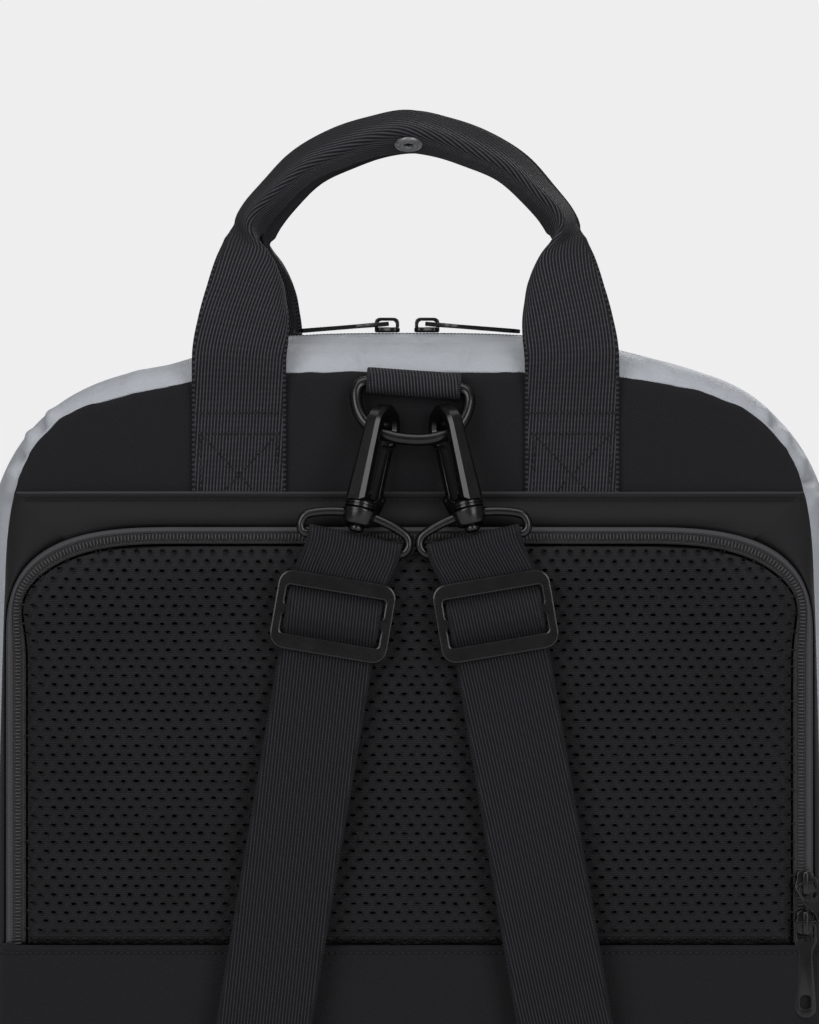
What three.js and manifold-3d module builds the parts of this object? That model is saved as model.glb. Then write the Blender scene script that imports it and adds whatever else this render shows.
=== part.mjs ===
// Cycling backpack, standing on its base. Millimetres, +Z up, wearer's side facing -Y.
// The origin is the middle of the flat base.
import * as THREE from "three";
import { mergeVertices } from "three/addons/utils/BufferGeometryUtils.js";
import Module from "manifold-3d";

const wasm = await Module();
wasm.setup();

// Driving dimensions
const SEAM_Y = -70; // plane of the seam between the grey body and the black back
const GAP = 0.3; // left between pieces that touch
const BODY_WALL = 2;
const WEBBING = { width: 38, thickness: 1.8 };

// Grey body, section by section from the seam to the front, before the front's dome
const BODY_SECTIONS = [
  { depth: 0, half: 163, top: 435.2, corner: 120, power: 4.4, bottom: 4 },
  { depth: 4, half: 166, top: 441.5, corner: 119, power: 4, bottom: 1.5 },
  { depth: 10, half: 169, top: 446.5, corner: 118, power: 3.5, bottom: 0 },
  { depth: 18, half: 171.5, top: 449.8, corner: 116, power: 3.1, bottom: 0 },
  { depth: 30, half: 173, top: 451.3, corner: 115, power: 2.9, bottom: 0 },
  { depth: 60, half: 174, top: 451.8, corner: 115, power: 2.8, bottom: 0 },
  { depth: 95, half: 173, top: 450.5, corner: 115, power: 2.8, bottom: 0 },
  { depth: 118, half: 170, top: 446, corner: 114, power: 2.8, bottom: 0 },
  { depth: 132, half: 165, top: 440, corner: 112, power: 2.9, bottom: 1.5 },
  { depth: 142, half: 157, top: 431, corner: 108, power: 3, bottom: 7 },
  { depth: 148, half: 146, top: 419, corner: 100, power: 3, bottom: 17 },
];
const FRONT_DOME = { rise: 6, scales: [0.8, 0.45] };
const BASE_CORNER = 28; // radius of the two lower corners
const SIDE_FLARE = { share: 0.02, top: 350 }; // the sides swell this much, below this height
const OUTLINE_STEPS = { base: 2, baseCorner: 4, side: 3, topCorner: 11 };

// Main zip over the top, as offsets across the tape and the height of the coil on it
const MAIN_ZIP = { depth: 30, slotHalf: 6, sunk: 0.2, thickness: 1.6 };
const TAPE_SECTION = [
  { across: -1, raise: 0 },
  { across: -0.36, raise: 0 },
  { across: -0.3, raise: 1 },
  { across: 0.3, raise: 1 },
  { across: 0.36, raise: 0 },
  { across: 1, raise: 0 },
];

// Back panels: heights above the base, and how far each stands out from the seam plane
const YOKE = { out: 1.7, foot: 379, endFoot: 388.8, footHalf: 135 };
const LOWER_EDGE = 205.2; // folded top edge of the lower panel
const U_CENTRE = { x: 90, z: 325 }; // where the corners of the inverted U turn
const FLAP_LINE = { half: 168, top: 387.2, power: 9 };
const ZIP_LINE = { half: 162, top: 373, power: 3 };
const ZIP_INNER_LINE = { half: 153.8, top: 366.2, power: 3 };
const PAD_LINE = { half: 153, top: 365.4, power: 3 };
const U_STEPS = { side: 2, corner: 7, top: 3 };
const SURROUND_ROWS = [
  { toZip: 0, outAtTop: 5.8, outAtSide: 1.7 },
  { toZip: 0.15, outAtTop: 5.8, outAtSide: 3.6 },
  { toZip: 0.45, outAtTop: 5.9, outAtSide: 6.5 },
  { toZip: 0.75, outAtTop: 8.2, outAtSide: 8.6 },
  { toZip: 1, outAtTop: 9.6, outAtSide: 9.6 },
];
const ZIP_BAND = { outer: 9.4, inner: 10.8, thickness: 1.6, coil: 0.9 };
const PAD = { back: 7, edge: 9, crown: 18, roll: 9, sideDrop: 1.2 };
const PAD_ROWS = [206, 209, 215, 250, 300, 325, 340, 350, 358, 362.5, 365.4];
const PAD_COLUMNS = [0, 0.25, 0.6, 0.9, 0.965, 1];
const LOWER_ROWS = [
  { z: 4, out: 1.7 },
  { z: 8, out: 3 },
  { z: 16, out: 4.2 },
  { z: 32, out: 5.6 },
  { z: 80, out: 9.5 },
  { z: 140, out: 13.4 },
  { z: 185, out: 15.4 },
  { z: LOWER_EDGE, out: 16 },
];
const LOWER_PANEL = { roll: 15, wall: 2 };
const LOWER_COLUMNS = [0, 0.35, 0.7, 0.9, 0.95, 0.98, 1];

// Handles: the webbing's lengthwise fold, from a leg's foot to the middle of the grip. tilt is the
// webbing's slant from upright, shift how far the fold is from its middle towards the inner edge,
// and inner and outer are the turns of its two sides, back from flat. near and far are the
// distances out from the seam on the two handles.
const NEAR_HANDLE = { centreX: -1.6, facing: 1, out: "near" };
const FAR_HANDLE = { centreX: 1.6, facing: -1, out: "far" };
const FOLD_FLAT = 3.6; // width of the blunt fold on each side of its line
const HANDLE_FEET = [
  { z: 330, far: -153.8 },
  { z: 370, far: -153.1 },
  { z: 377.5, near: 2.9 },
  { z: 400, near: 2.9, far: -151.4 },
  { z: 420, near: 2.9 },
].map((row) => ({ span: 48.6, tilt: 0, shift: 18.4, inner: 0, outer: 0, ...row }));
const HANDLE_FOLD = [
  { z: 428, span: 48.6, tilt: 0, shift: 18.4, inner: 0, outer: 0, near: 3.6, far: -149.6 },
  { z: 440.7, span: 48.9, tilt: 3, shift: 18, inner: 10, outer: 0, near: 5.6, far: -146.5 },
  { z: 451, span: 49.7, tilt: 8, shift: 15.5, inner: 45, outer: 4, near: 4.8, far: -141 },
  { z: 463, span: 50.2, tilt: 13, shift: 12, inner: 75, outer: 8, near: 2.2, far: -131.5 },
  { z: 472.6, span: 50.7, tilt: 17, shift: 9, inner: 90, outer: 12, near: -1, far: -122.5 },
  { z: 482.3, span: 54.7, tilt: 21, shift: 3, inner: 98, outer: 25, near: -4.2, far: -112 },
  { z: 487.7, span: 59, tilt: 23, shift: 0, inner: 94, outer: 46, near: -6, far: -106 },
  { z: 492.4, span: 62.3, tilt: 26, shift: 0, inner: 82, outer: 66, near: -7.4, far: -100.5 },
  { z: 496, span: 63, tilt: 29, shift: 0, inner: 71, outer: 71, near: -8.4, far: -96 },
  { z: 501, span: 61, tilt: 36, shift: 0, inner: 68, outer: 73, near: -9.8, far: -90 },
  { z: 508.6, span: 53, tilt: 45, shift: 0, inner: 72, outer: 69, near: -12, far: -81 },
  { z: 518.3, span: 41, tilt: 52, shift: 0, inner: 75, outer: 62, near: -15, far: -71 },
  { z: 525.8, span: 26, tilt: 66, shift: 0, inner: 73, outer: 58, near: -17.5, far: -63.5 },
  { z: 530.2, span: 13, tilt: 78, shift: 0, inner: 70, outer: 61, near: -19.3, far: -59 },
  { z: 532.1, span: 0, tilt: 90, shift: 0, inner: 67, outer: 61, near: -20, far: -57.5 },
];
const SNAP = { outerRadius: 5.8, holeRadius: 2, thickness: 1.2, fromFold: 8.6, below: 0.65 };

// D-ring and the webbing loop that holds its bar
const D_RING = { x: 1.6, z: 430, out: 6.4, tilt: 4, lean: 17, wire: 5 };
const D_SHAPE = { half: 22.8, height: 23, corner: 4.5, power: 2.3 };
const LOOP = { width: 38, thickness: 1.6 };
const LOOP_TAIL = [
  { back: 4.2, up: 3.6 },
  { back: 4.3, up: 6.6 },
  { back: 1.2, up: 6.6 },
];

// Shoulder straps and their hardware, in a frame at the strap slider with Z up the strap
const STRAP = { x: 32.5, centreX: 1.9, z: 337.4, tilt: 9.6, thickness: 1.6 };
const SLIDER = { width: 47.6, height: 32, sideBar: 3.9, endBar: 6.4, midBar: 4, thickness: 2.4, corner: 6 };
const SLIDER_OUT = 26;
const EYE = { out: 21, barZ: 30.2, skew: 3.6, wire: 3.7, extraTilt: 3, barToHub: 12 };
const EYE_HUB = { radius: 6.5, boreRadius: 2.8, low: -5, high: 1.5 };
const EYE_SHAPE = [
  { across: 5, up: -0.5 },
  { across: 16.8, up: -3.2 },
  { across: 21.1, up: -5.6 },
  { across: 22, up: -9.2 },
  { across: 20.3, up: -11.9 },
];
const STRAP_RUN = [
  { up: -316, out: 6.6 },
  { up: -300, out: 7.9 },
  { up: -282, out: 9.8 },
  { up: -240, out: 16 },
  { up: -185, out: 22.5 },
  { up: -120, out: 26 },
  { up: -70, out: 26 },
  { up: -40, out: 24.4 },
];

// Snap hook, in a frame at its hub: u runs from the shank to the gate, from the hub's axis
const HOOK = { tilt: 12.2, lean: 9, turn: 60, halfThickness: 3.2 };
const HOOK_SHANK_U = -3.5;
const HOOK_GATE_U = 10.5;
const HOOK_BEND = { z: 36, outerRadius: 10, innerRadius: 4.6 };
const HOOK_NOSE_Z = 30.4;
const HOOK_COLLAR = { low: 1.8, high: 5.5, radius: 6.5 };
const HOOK_RIVET = { radius: 3.2, low: -6.9, high: -5.3, stemRadius: 2.4 };
const HOOK_GATE = { pivotZ: 8.2, length: 21.6, half: 1.6, pinRadius: 0.9, thickness: 3.2 };

// Zip sliders and pulls, in a frame on the tape with x along it and z standing off it
const ZIP_SLIDER = { length: 10, width: 8.6, low: 1.1, high: 2.9 };
const BRIDGE = { width: 2.2, innerHalf: 3.6, outerHalf: 5, innerTop: 5.6, outerTop: 6.9 };
const PULL = { pivot: 4.3, length: 38, head: 4.6, neck: 2.6, tail: 4.3, thickness: 1.2, bar: 0.8 };
const PULL_EYE = { far: 7, half: 3.4 };
const PULL_WINDOW = { near: 29, far: 34.6, half: 2.1 };
const ZIP_PULLS = [
  { name: "main_zip", end: "left", x: -9.2, lie: 4.6, swing: 0 },
  { name: "main_zip", end: "right", x: 7.2, lie: 4.6, swing: 0 },
  { name: "back_zip", end: "upper", z: 230.4, lie: -10, swing: 28 },
  { name: "back_zip", end: "lower", z: 214.4, lie: -0.5, swing: 0 },
];
const BACK_ZIP_PULL = { x: 158.6, out: 10.1 };

const FINISHES = {
  grey_cloth: { color: 0xa7acb2, roughness: 0.55, metalness: 0 },
  twill: { color: 0x1a1a1c, roughness: 0.85, metalness: 0 },
  smooth_cloth: { color: 0x202022, roughness: 0.8, metalness: 0 },
  zip_tape: { color: 0x333335, roughness: 0.75, metalness: 0 },
  air_mesh: { color: 0x232425, roughness: 0.9, metalness: 0 },
  webbing: { color: 0x242427, roughness: 0.8, metalness: 0 },
  black_metal: { color: 0x1c1c1d, roughness: 0.45, metalness: 0.6 },
};

const { degToRad, smoothstep, lerp } = THREE.MathUtils;
const bag = new THREE.Group();

function addPiece(name, geometry, finish, parent = bag) {
  const mesh = new THREE.Mesh(geometry, new THREE.MeshStandardMaterial(FINISHES[finish]));
  mesh.name = name;
  parent.add(mesh);
  return mesh;
}

function addFrame(parent, x, y, z, order = "YXZ") {
  const frame = new THREE.Group();
  frame.position.set(x, y, z);
  frame.rotation.order = order;
  parent.add(frame);
  return frame;
}

// A point of the back, by its distance out from the seam plane
const backPoint = (x, z, out) => new THREE.Vector3(x, SEAM_Y - out, z);

// Closed meshes from points and triangles, with their faces turned outwards
function closedMesh(points, faces) {
  const crossed = new THREE.Vector3();
  let volume = 0;
  for (const [a, b, c] of faces) volume += points[a].dot(crossed.crossVectors(points[b], points[c]));
  const turned = faces.map(([a, b, c]) => (volume < 0 ? [a, c, b] : [a, b, c]));
  return new THREE.BufferGeometry().setFromPoints(points).setIndex(turned.flat());
}

// A wall between two grids of points of the same size, closed by a rim along their borders
function wallBetween(outer, inner) {
  const rows = outer.length;
  const columns = outer[0].length;
  const count = rows * columns;
  const index = (row, column) => row * columns + column;
  const faces = [];
  const addQuad = (a, b, c, d) => faces.push([a, b, c], [a, c, d]);
  for (let row = 0; row + 1 < rows; row++) {
    for (let column = 0; column + 1 < columns; column++) {
      const a = index(row, column);
      const b = index(row + 1, column);
      addQuad(a, b, b + 1, a + 1);
      addQuad(count + a, count + a + 1, count + b + 1, count + b);
    }
  }
  const border = [];
  for (let column = 0; column < columns; column++) border.push(index(0, column));
  for (let row = 1; row < rows; row++) border.push(index(row, columns - 1));
  for (let column = columns - 2; column >= 0; column--) border.push(index(rows - 1, column));
  for (let row = rows - 2; row > 0; row--) border.push(index(row, 0));
  border.forEach((a, i) => {
    const b = border[(i + 1) % border.length];
    addQuad(a, b, count + b, count + a);
  });
  return closedMesh([...outer.flat(), ...inner.flat()], faces);
}

// A skin over closed rings of points, with a fan over the first ring and the last
function skinOver(rings) {
  const count = rings[0].length;
  const points = rings.flat();
  const faces = [];
  const last = rings.length - 1;
  for (let ring = 0; ring < last; ring++) {
    for (let i = 0; i < count; i++) {
      const a = ring * count + i;
      const b = ring * count + ((i + 1) % count);
      faces.push([a, b, b + count], [a, b + count, a + count]);
    }
  }
  for (const ring of [0, last]) {
    const middle = new THREE.Vector3();
    for (const point of rings[ring]) middle.addScaledVector(point, 1 / count);
    const pole = points.push(middle) - 1;
    for (let i = 0; i < count; i++) {
      const a = ring * count + i;
      const b = ring * count + ((i + 1) % count);
      faces.push(ring === 0 ? [pole, b, a] : [pole, a, b]);
    }
  }
  return closedMesh(points, faces);
}

function toSolid(geometry) {
  const bare = geometry.clone().deleteAttribute("normal").deleteAttribute("uv");
  const merged = mergeVertices(bare, 1e-4);
  const vertProperties = new Float32Array(merged.attributes.position.array);
  const triVerts = new Uint32Array(merged.index.array);
  return new wasm.Manifold(new wasm.Mesh({ numProp: 3, vertProperties, triVerts }));
}

function fromSolid(solid) {
  const mesh = solid.getMesh();
  const position = new THREE.BufferAttribute(mesh.vertProperties, 3);
  const geometry = new THREE.BufferGeometry().setAttribute("position", position);
  return geometry.setIndex(new THREE.BufferAttribute(mesh.triVerts, 1));
}

const joined = (...parts) => fromSolid(parts.map(toSolid).reduce((a, b) => a.add(b)));
const cutAway = (whole, cutter) => fromSolid(toSolid(whole).subtract(toSolid(cutter)));

// A flat outline in x and z, thick across y and centred on y = 0
function plateXZ(shape, thickness, curveSegments = 6) {
  const plate = new THREE.ExtrudeGeometry(shape, { depth: thickness, bevelEnabled: false, curveSegments });
  return plate.translate(0, 0, -thickness / 2).rotateX(Math.PI / 2);
}

function uprightCylinder(radius, low, high, sides = 14) {
  const cylinder = new THREE.CylinderGeometry(radius, radius, high - low, sides);
  return cylinder.rotateX(Math.PI / 2).translate(0, 0, (low + high) / 2);
}

function roundedRectangle(width, height, radius) {
  const shape = new THREE.Shape();
  const x = width / 2 - radius;
  const z = height / 2 - radius;
  shape.absarc(x, z, radius, 0, Math.PI / 2);
  shape.absarc(-x, z, radius, Math.PI / 2, Math.PI);
  shape.absarc(-x, -z, radius, Math.PI, Math.PI * 1.5);
  shape.absarc(x, -z, radius, Math.PI * 1.5, Math.PI * 2);
  return shape;
}

// Body: one outline for each depth, from the middle of the base up the right side and back
function bodySection(depth) {
  const next = Math.max(1, BODY_SECTIONS.findIndex((row) => row.depth >= depth));
  const [a, b] = [BODY_SECTIONS[next - 1], BODY_SECTIONS[next]];
  const share = (depth - a.depth) / (b.depth - a.depth);
  return Object.fromEntries(Object.keys(a).map((key) => [key, lerp(a[key], b[key], share)]));
}

function flared(x, z) {
  const share = z > 0 && z < SIDE_FLARE.top ? Math.sin((Math.PI * z) / SIDE_FLARE.top) : 0;
  return x * (1 + SIDE_FLARE.share * share);
}

function rightOutline({ half, top, corner, power, bottom }, inset) {
  const side = half - inset;
  const floor = bottom + inset;
  const shoulder = top - corner;
  const points = [];
  const add = (x, z) => points.push([flared(x, z), z]);
  for (let i = 0; i <= OUTLINE_STEPS.base; i++) add(((side - BASE_CORNER) * i) / OUTLINE_STEPS.base, floor);
  for (let i = 1; i <= OUTLINE_STEPS.baseCorner; i++) {
    const turn = ((i / OUTLINE_STEPS.baseCorner) * Math.PI) / 2;
    add(side - BASE_CORNER * (1 - Math.sin(turn)), floor + BASE_CORNER * (1 - Math.cos(turn)));
  }
  for (let i = 1; i <= OUTLINE_STEPS.side; i++) {
    add(side, lerp(floor + BASE_CORNER, shoulder, i / OUTLINE_STEPS.side));
  }
  for (let i = 1; i <= OUTLINE_STEPS.topCorner; i++) {
    const turn = ((i / OUTLINE_STEPS.topCorner) * Math.PI) / 2;
    const x = i === OUTLINE_STEPS.topCorner ? 0 : side * Math.cos(turn) ** (2 / power);
    add(x, shoulder + (corner - inset) * Math.sin(turn) ** (2 / power));
  }
  return points;
}

function bodyRing(depth, inset, ringY = depth, scale = 1) {
  const section = bodySection(depth);
  const right = rightOutline(section, inset);
  const left = right.slice(1, -1).reverse().map(([x, z]) => [-x, z]);
  const middle = (section.top + section.bottom) / 2;
  return [...right, ...left].map(
    ([x, z]) => new THREE.Vector3(x * scale, SEAM_Y + ringY, middle + (z - middle) * scale),
  );
}

function bodyShell() {
  const deepest = BODY_SECTIONS.at(-1).depth;
  const wallRings = (inset) => [
    ...BODY_SECTIONS.map(({ depth }) => {
      const rounding = smoothstep(depth, 100, deepest);
      return bodyRing(depth, inset, depth - inset * rounding);
    }),
    ...FRONT_DOME.scales.map((scale) =>
      bodyRing(deepest, inset, deepest - inset + FRONT_DOME.rise * (1 - scale ** 2), scale),
    ),
  ];
  const shell = skinOver([...wallRings(BODY_WALL).reverse(), ...wallRings(0)]);
  const slot = mainZipStrip([{ across: -1 }, { across: 1 }], MAIN_ZIP.slotHalf, 8, 8, GAP);
  return cutAway(shell, slot);
}

// A strip over the top of the body, from shoulder to shoulder, along the main zip
function mainZipStrip(section, halfWidth, above, below, longer) {
  const first = OUTLINE_STEPS.base + OUTLINE_STEPS.baseCorner + OUTLINE_STEPS.side;
  const strips = section.map(({ across, raise = 0 }) => {
    const ring = bodyRing(MAIN_ZIP.depth + across * halfWidth, 0);
    const line = ring.slice(first, ring.length - first + 1);
    return line.map((point, i) => {
      const before = line[Math.max(0, i - 1)];
      const after = line[Math.min(line.length - 1, i + 1)];
      const along = new THREE.Vector3(after.x - before.x, 0, after.z - before.z).normalize();
      const away = new THREE.Vector3(along.z, 0, -along.x);
      const end = i === 0 ? -longer : i === line.length - 1 ? longer : 0;
      const base = point.clone().addScaledVector(along, end);
      return {
        outer: base.clone().addScaledVector(away, above + raise),
        inner: base.clone().addScaledVector(away, -below),
      };
    });
  });
  return wallBetween(
    strips.map((strip) => strip.map(({ outer }) => outer)),
    strips.map((strip) => strip.map(({ inner }) => inner)),
  );
}

// Half the width of the back at a height: the body's outline in the seam plane
function backHalf(z) {
  const { half, top, corner, power, bottom } = BODY_SECTIONS[0];
  const shoulder = top - corner;
  const baseTop = bottom + BASE_CORNER;
  if (z > shoulder) {
    const up = Math.min(1, (z - shoulder) / corner);
    return flared(half * (1 - up ** power) ** (1 / power), z);
  }
  if (z < baseTop) {
    const down = Math.min(1, (baseTop - z) / BASE_CORNER);
    return flared(half - BASE_CORNER * (1 - Math.sqrt(1 - down ** 2)), z);
  }
  return flared(half, z);
}

function backYoke() {
  const { half, top, corner, power } = BODY_SECTIONS[0];
  const ends = Math.asin(((YOKE.endFoot + 1 - (top - corner)) / corner) ** (power / 2));
  const columns = 22;
  const outer = [0, 0.4, 1].map((down) =>
    Array.from({ length: columns + 1 }, (_, i) => {
      const turn = lerp(ends, Math.PI - ends, i / columns);
      const x = -half * Math.sign(Math.cos(turn)) * Math.abs(Math.cos(turn)) ** (2 / power);
      const seamZ = top - corner + corner * Math.sin(turn) ** (2 / power);
      const foot = lerp(YOKE.foot, YOKE.endFoot, smoothstep(Math.abs(x), YOKE.footHalf, half - 6));
      return backPoint(x, lerp(seamZ, foot, down), YOKE.out);
    }),
  );
  const inner = outer.map((row) => row.map((p) => p.clone().setY(SEAM_Y - GAP)));
  return wallBetween(outer, inner);
}

// The inverted U of the back zip: up one side, round the corners and down the other
function invertedU({ half, top, power }, low = LOWER_EDGE + 0.8) {
  const right = [];
  for (let i = 0; i < U_STEPS.side; i++) right.push([half, lerp(low, U_CENTRE.z, i / U_STEPS.side)]);
  for (let i = 0; i <= U_STEPS.corner; i++) {
    const turn = ((i / U_STEPS.corner) * Math.PI) / 2;
    const across = i === U_STEPS.corner ? 0 : Math.cos(turn) ** (2 / power);
    const up = Math.sin(turn) ** (2 / power);
    right.push([U_CENTRE.x + (half - U_CENTRE.x) * across, U_CENTRE.z + (top - U_CENTRE.z) * up]);
  }
  for (let i = 1; i < U_STEPS.top; i++) right.push([U_CENTRE.x * (1 - i / U_STEPS.top), top]);
  return [...right, [0, top], ...right.reverse().map(([x, z]) => [-x, z])];
}

function zipSurround() {
  const edge = invertedU(FLAP_LINE).map(([x, z]) => [Math.sign(x) * Math.min(Math.abs(x), backHalf(z)), z]);
  const zip = invertedU({ ...ZIP_LINE, half: ZIP_LINE.half + GAP, top: ZIP_LINE.top + GAP });
  const grid = (lift) =>
    SURROUND_ROWS.map(({ toZip, outAtTop, outAtSide }) =>
      edge.map(([x, z], i) => {
        const atTop = 1 - smoothstep(Math.abs(edge[i][0]), 138, 158);
        const out = lerp(outAtSide, outAtTop, atTop) - lift;
        return backPoint(lerp(x, zip[i][0], toZip), lerp(z, zip[i][1], toZip), Math.max(out, GAP));
      }),
    );
  return wallBetween(grid(0), grid(1.6));
}

function backZipTape() {
  const outerLine = invertedU(ZIP_LINE);
  const innerLine = invertedU(ZIP_INNER_LINE);
  const grid = (lift, coil) =>
    TAPE_SECTION.map(({ across, raise }) => {
      const share = (across + 1) / 2;
      const out = lerp(ZIP_BAND.outer, ZIP_BAND.inner, share) + raise * coil - lift;
      return outerLine.map(([x, z], i) =>
        backPoint(lerp(x, innerLine[i][0], share), lerp(z, innerLine[i][1], share), out),
      );
    });
  return wallBetween(grid(0, ZIP_BAND.coil), grid(ZIP_BAND.thickness, 0));
}

function padHalf(z) {
  if (z <= U_CENTRE.z) return PAD_LINE.half;
  const up = Math.min(1, (z - U_CENTRE.z) / (PAD_LINE.top - U_CENTRE.z));
  return U_CENTRE.x + (PAD_LINE.half - U_CENTRE.x) * (1 - up ** PAD_LINE.power) ** (1 / PAD_LINE.power);
}

const mirroredShares = (shares) => [...shares.slice(1).reverse().map((share) => -share), ...shares];

function meshPad() {
  const columns = mirroredShares(PAD_COLUMNS);
  const outer = PAD_ROWS.map((z) =>
    columns.map((share) => {
      const x = share * padHalf(z);
      const toEdge = Math.min(padHalf(z) - Math.abs(x), PAD_LINE.top - z, z - PAD_ROWS[0]);
      const crown = PAD.crown - PAD.sideDrop * (x / PAD_LINE.half) ** 2;
      return backPoint(x, z, lerp(PAD.edge, crown, Math.sqrt(smoothstep(toEdge, 0, PAD.roll))));
    }),
  );
  const inner = outer.map((row) => row.map((p) => p.clone().setY(SEAM_Y - PAD.back)));
  return wallBetween(outer, inner);
}

function lowerPanel() {
  const columns = mirroredShares(LOWER_COLUMNS);
  const grid = (lift) =>
    LOWER_ROWS.map(({ z, out }) =>
      columns.map((share) => {
        const half = backHalf(z);
        const inFromEdge = half * (1 - Math.abs(share));
        const rise = lerp(LOWER_ROWS[0].out, out, Math.sqrt(smoothstep(inFromEdge, 0, LOWER_PANEL.roll)));
        return backPoint(share * half, z, Math.max(rise - lift, Math.min(GAP, rise)));
      }),
    );
  return wallBetween(grid(0), grid(LOWER_PANEL.wall));
}

// Webbing handle: the two sides of the webbing turn back about the fold as they go along it
function handle({ centreX, facing, out: side }) {
  const leg = [...HANDLE_FEET, ...HANDLE_FOLD].filter((row) => row[side] !== undefined);
  const left = leg.map((row) => ({ ...row, span: -row.span }));
  const right = leg.slice(0, -1).reverse().map((row) => ({ ...row, tilt: 180 - row.tilt }));
  const rows = [...left, ...right];
  const curve = (pick) => new THREE.CatmullRomCurve3(rows.map(pick));
  const fold = curve(({ span, z, [side]: out }) => backPoint(centreX + span, z, out));
  const turns = curve(({ tilt, inner, outer }) => new THREE.Vector3(tilt, inner, outer));
  const shifts = curve(({ shift }) => new THREE.Vector3(shift, 0, 0));
  const back = new THREE.Vector3(0, facing, 0);
  const steps = rows.length - 1;
  const outside = [];
  const inside = [];
  for (let i = 0; i <= steps; i++) {
    const t = i / steps;
    const [tilt, inner, outer] = turns.getPoint(t).toArray().map(degToRad);
    const { x: shift } = shifts.getPoint(t);
    const toInside = new THREE.Vector3(Math.cos(tilt), 0, -Math.sin(tilt));
    const mix = (a, b) => toInside.clone().multiplyScalar(a).addScaledVector(back, b);
    const innerWay = mix(Math.cos(inner), Math.sin(inner));
    const outerWay = mix(-Math.cos(outer), Math.sin(outer));
    const innerFace = mix(Math.sin(inner), -Math.cos(inner));
    const outerFace = mix(-Math.sin(outer), -Math.cos(outer));
    const foldFace = innerFace.clone().add(outerFace).normalize();
    const innerWidth = WEBBING.width / 2 - shift;
    const across = [
      { way: outerWay, width: WEBBING.width / 2 + shift, front: outerFace, rear: outerFace },
      { way: outerWay, width: FOLD_FLAT, front: foldFace, rear: outerFace },
      { way: innerWay, width: Math.min(FOLD_FLAT, innerWidth / 2), front: foldFace, rear: innerFace },
      { way: innerWay, width: innerWidth, front: innerFace, rear: innerFace },
    ];
    const middle = fold.getPoint(t);
    const half = WEBBING.thickness / 2;
    const from = (way, width) => middle.clone().addScaledVector(way, width);
    outside.push(across.map(({ way, width, front }) => from(way, width).addScaledVector(front, half)));
    inside.push(across.map(({ way, width, rear }) => from(way, width).addScaledVector(rear, -half)));
  }
  return facing > 0 ? wallBetween(outside, inside) : wallBetween(inside, outside);
}

// Press stud under the inner side of the near grip
function addHandleSnap() {
  const grip = HANDLE_FOLD.at(-1);
  const frame = addFrame(bag, NEAR_HANDLE.centreX, SEAM_Y - grip.near, grip.z);
  frame.rotation.x = degToRad(grip.inner) - Math.PI / 2;
  const { outerRadius, holeRadius, thickness, fromFold, below } = SNAP;
  const top = -WEBBING.thickness / 2 - below;
  const profile = [
    [holeRadius, top - thickness],
    [outerRadius - 0.4, top - thickness],
    [outerRadius, top - thickness / 2],
    [outerRadius, top],
    [holeRadius, top],
    [holeRadius, top - thickness],
  ];
  const ring = new THREE.LatheGeometry(profile.map(([r, h]) => new THREE.Vector2(r, h)), 12);
  const stud = addPiece("handle_snap", ring.rotateX(Math.PI / 2), "black_metal", frame);
  stud.position.y = fromFold;
}

// A wire bent along a closed line
function closedWire(points, diameter, steps, sides = 7) {
  const curve = new THREE.CatmullRomCurve3(points, true, "centripetal");
  return new THREE.TubeGeometry(curve, steps, diameter / 2, sides, true);
}

function addDRing() {
  const frame = addFrame(bag, D_RING.x, SEAM_Y - D_RING.out, D_RING.z);
  frame.rotation.y = degToRad(D_RING.tilt);
  const { half, height, corner, power } = D_SHAPE;
  const right = [[half * 0.4, 0], [half - corner, 0]];
  right.push([half - corner * 0.3, -corner * 0.3]);
  for (let i = 0; i < 6; i++) {
    const turn = ((i / 6) * Math.PI) / 2;
    const across = half * Math.cos(turn) ** (2 / power);
    right.push([across, -corner - (height - corner) * Math.sin(turn) ** (2 / power)]);
  }
  const left = right.map(([x, z]) => [-x, z]).reverse();
  const line = [...right, [0, -height], ...left].map(([x, z]) => new THREE.Vector3(x, 0, z));
  const ring = addPiece("d_ring", closedWire(line, D_RING.wire, 30), "black_metal", frame);
  ring.rotation.x = -degToRad(D_RING.lean);

  const inner = D_RING.wire / 2 + 1.5 * GAP;
  const outer = inner + LOOP.thickness;
  const loop = new THREE.Shape();
  loop.absarc(0, 0, outer, degToRad(100), degToRad(375), false);
  for (const { back, up } of LOOP_TAIL) loop.lineTo(back, up);
  loop.closePath();
  loop.holes.push(new THREE.Path().absarc(0, 0, inner, 0, Math.PI * 2));
  const extent = { depth: LOOP.width, bevelEnabled: false, curveSegments: 8 };
  const webbing = new THREE.ExtrudeGeometry(loop, extent);
  const [x, y, z] = [[1, 0, 0], [0, 1, 0], [0, 0, 1]].map((axis) => new THREE.Vector3(...axis));
  webbing.applyMatrix4(new THREE.Matrix4().makeBasis(y, z, x)).translate(-LOOP.width / 2, 0, 0);
  addPiece("d_ring_loop", webbing, "webbing", frame);
}

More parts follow.
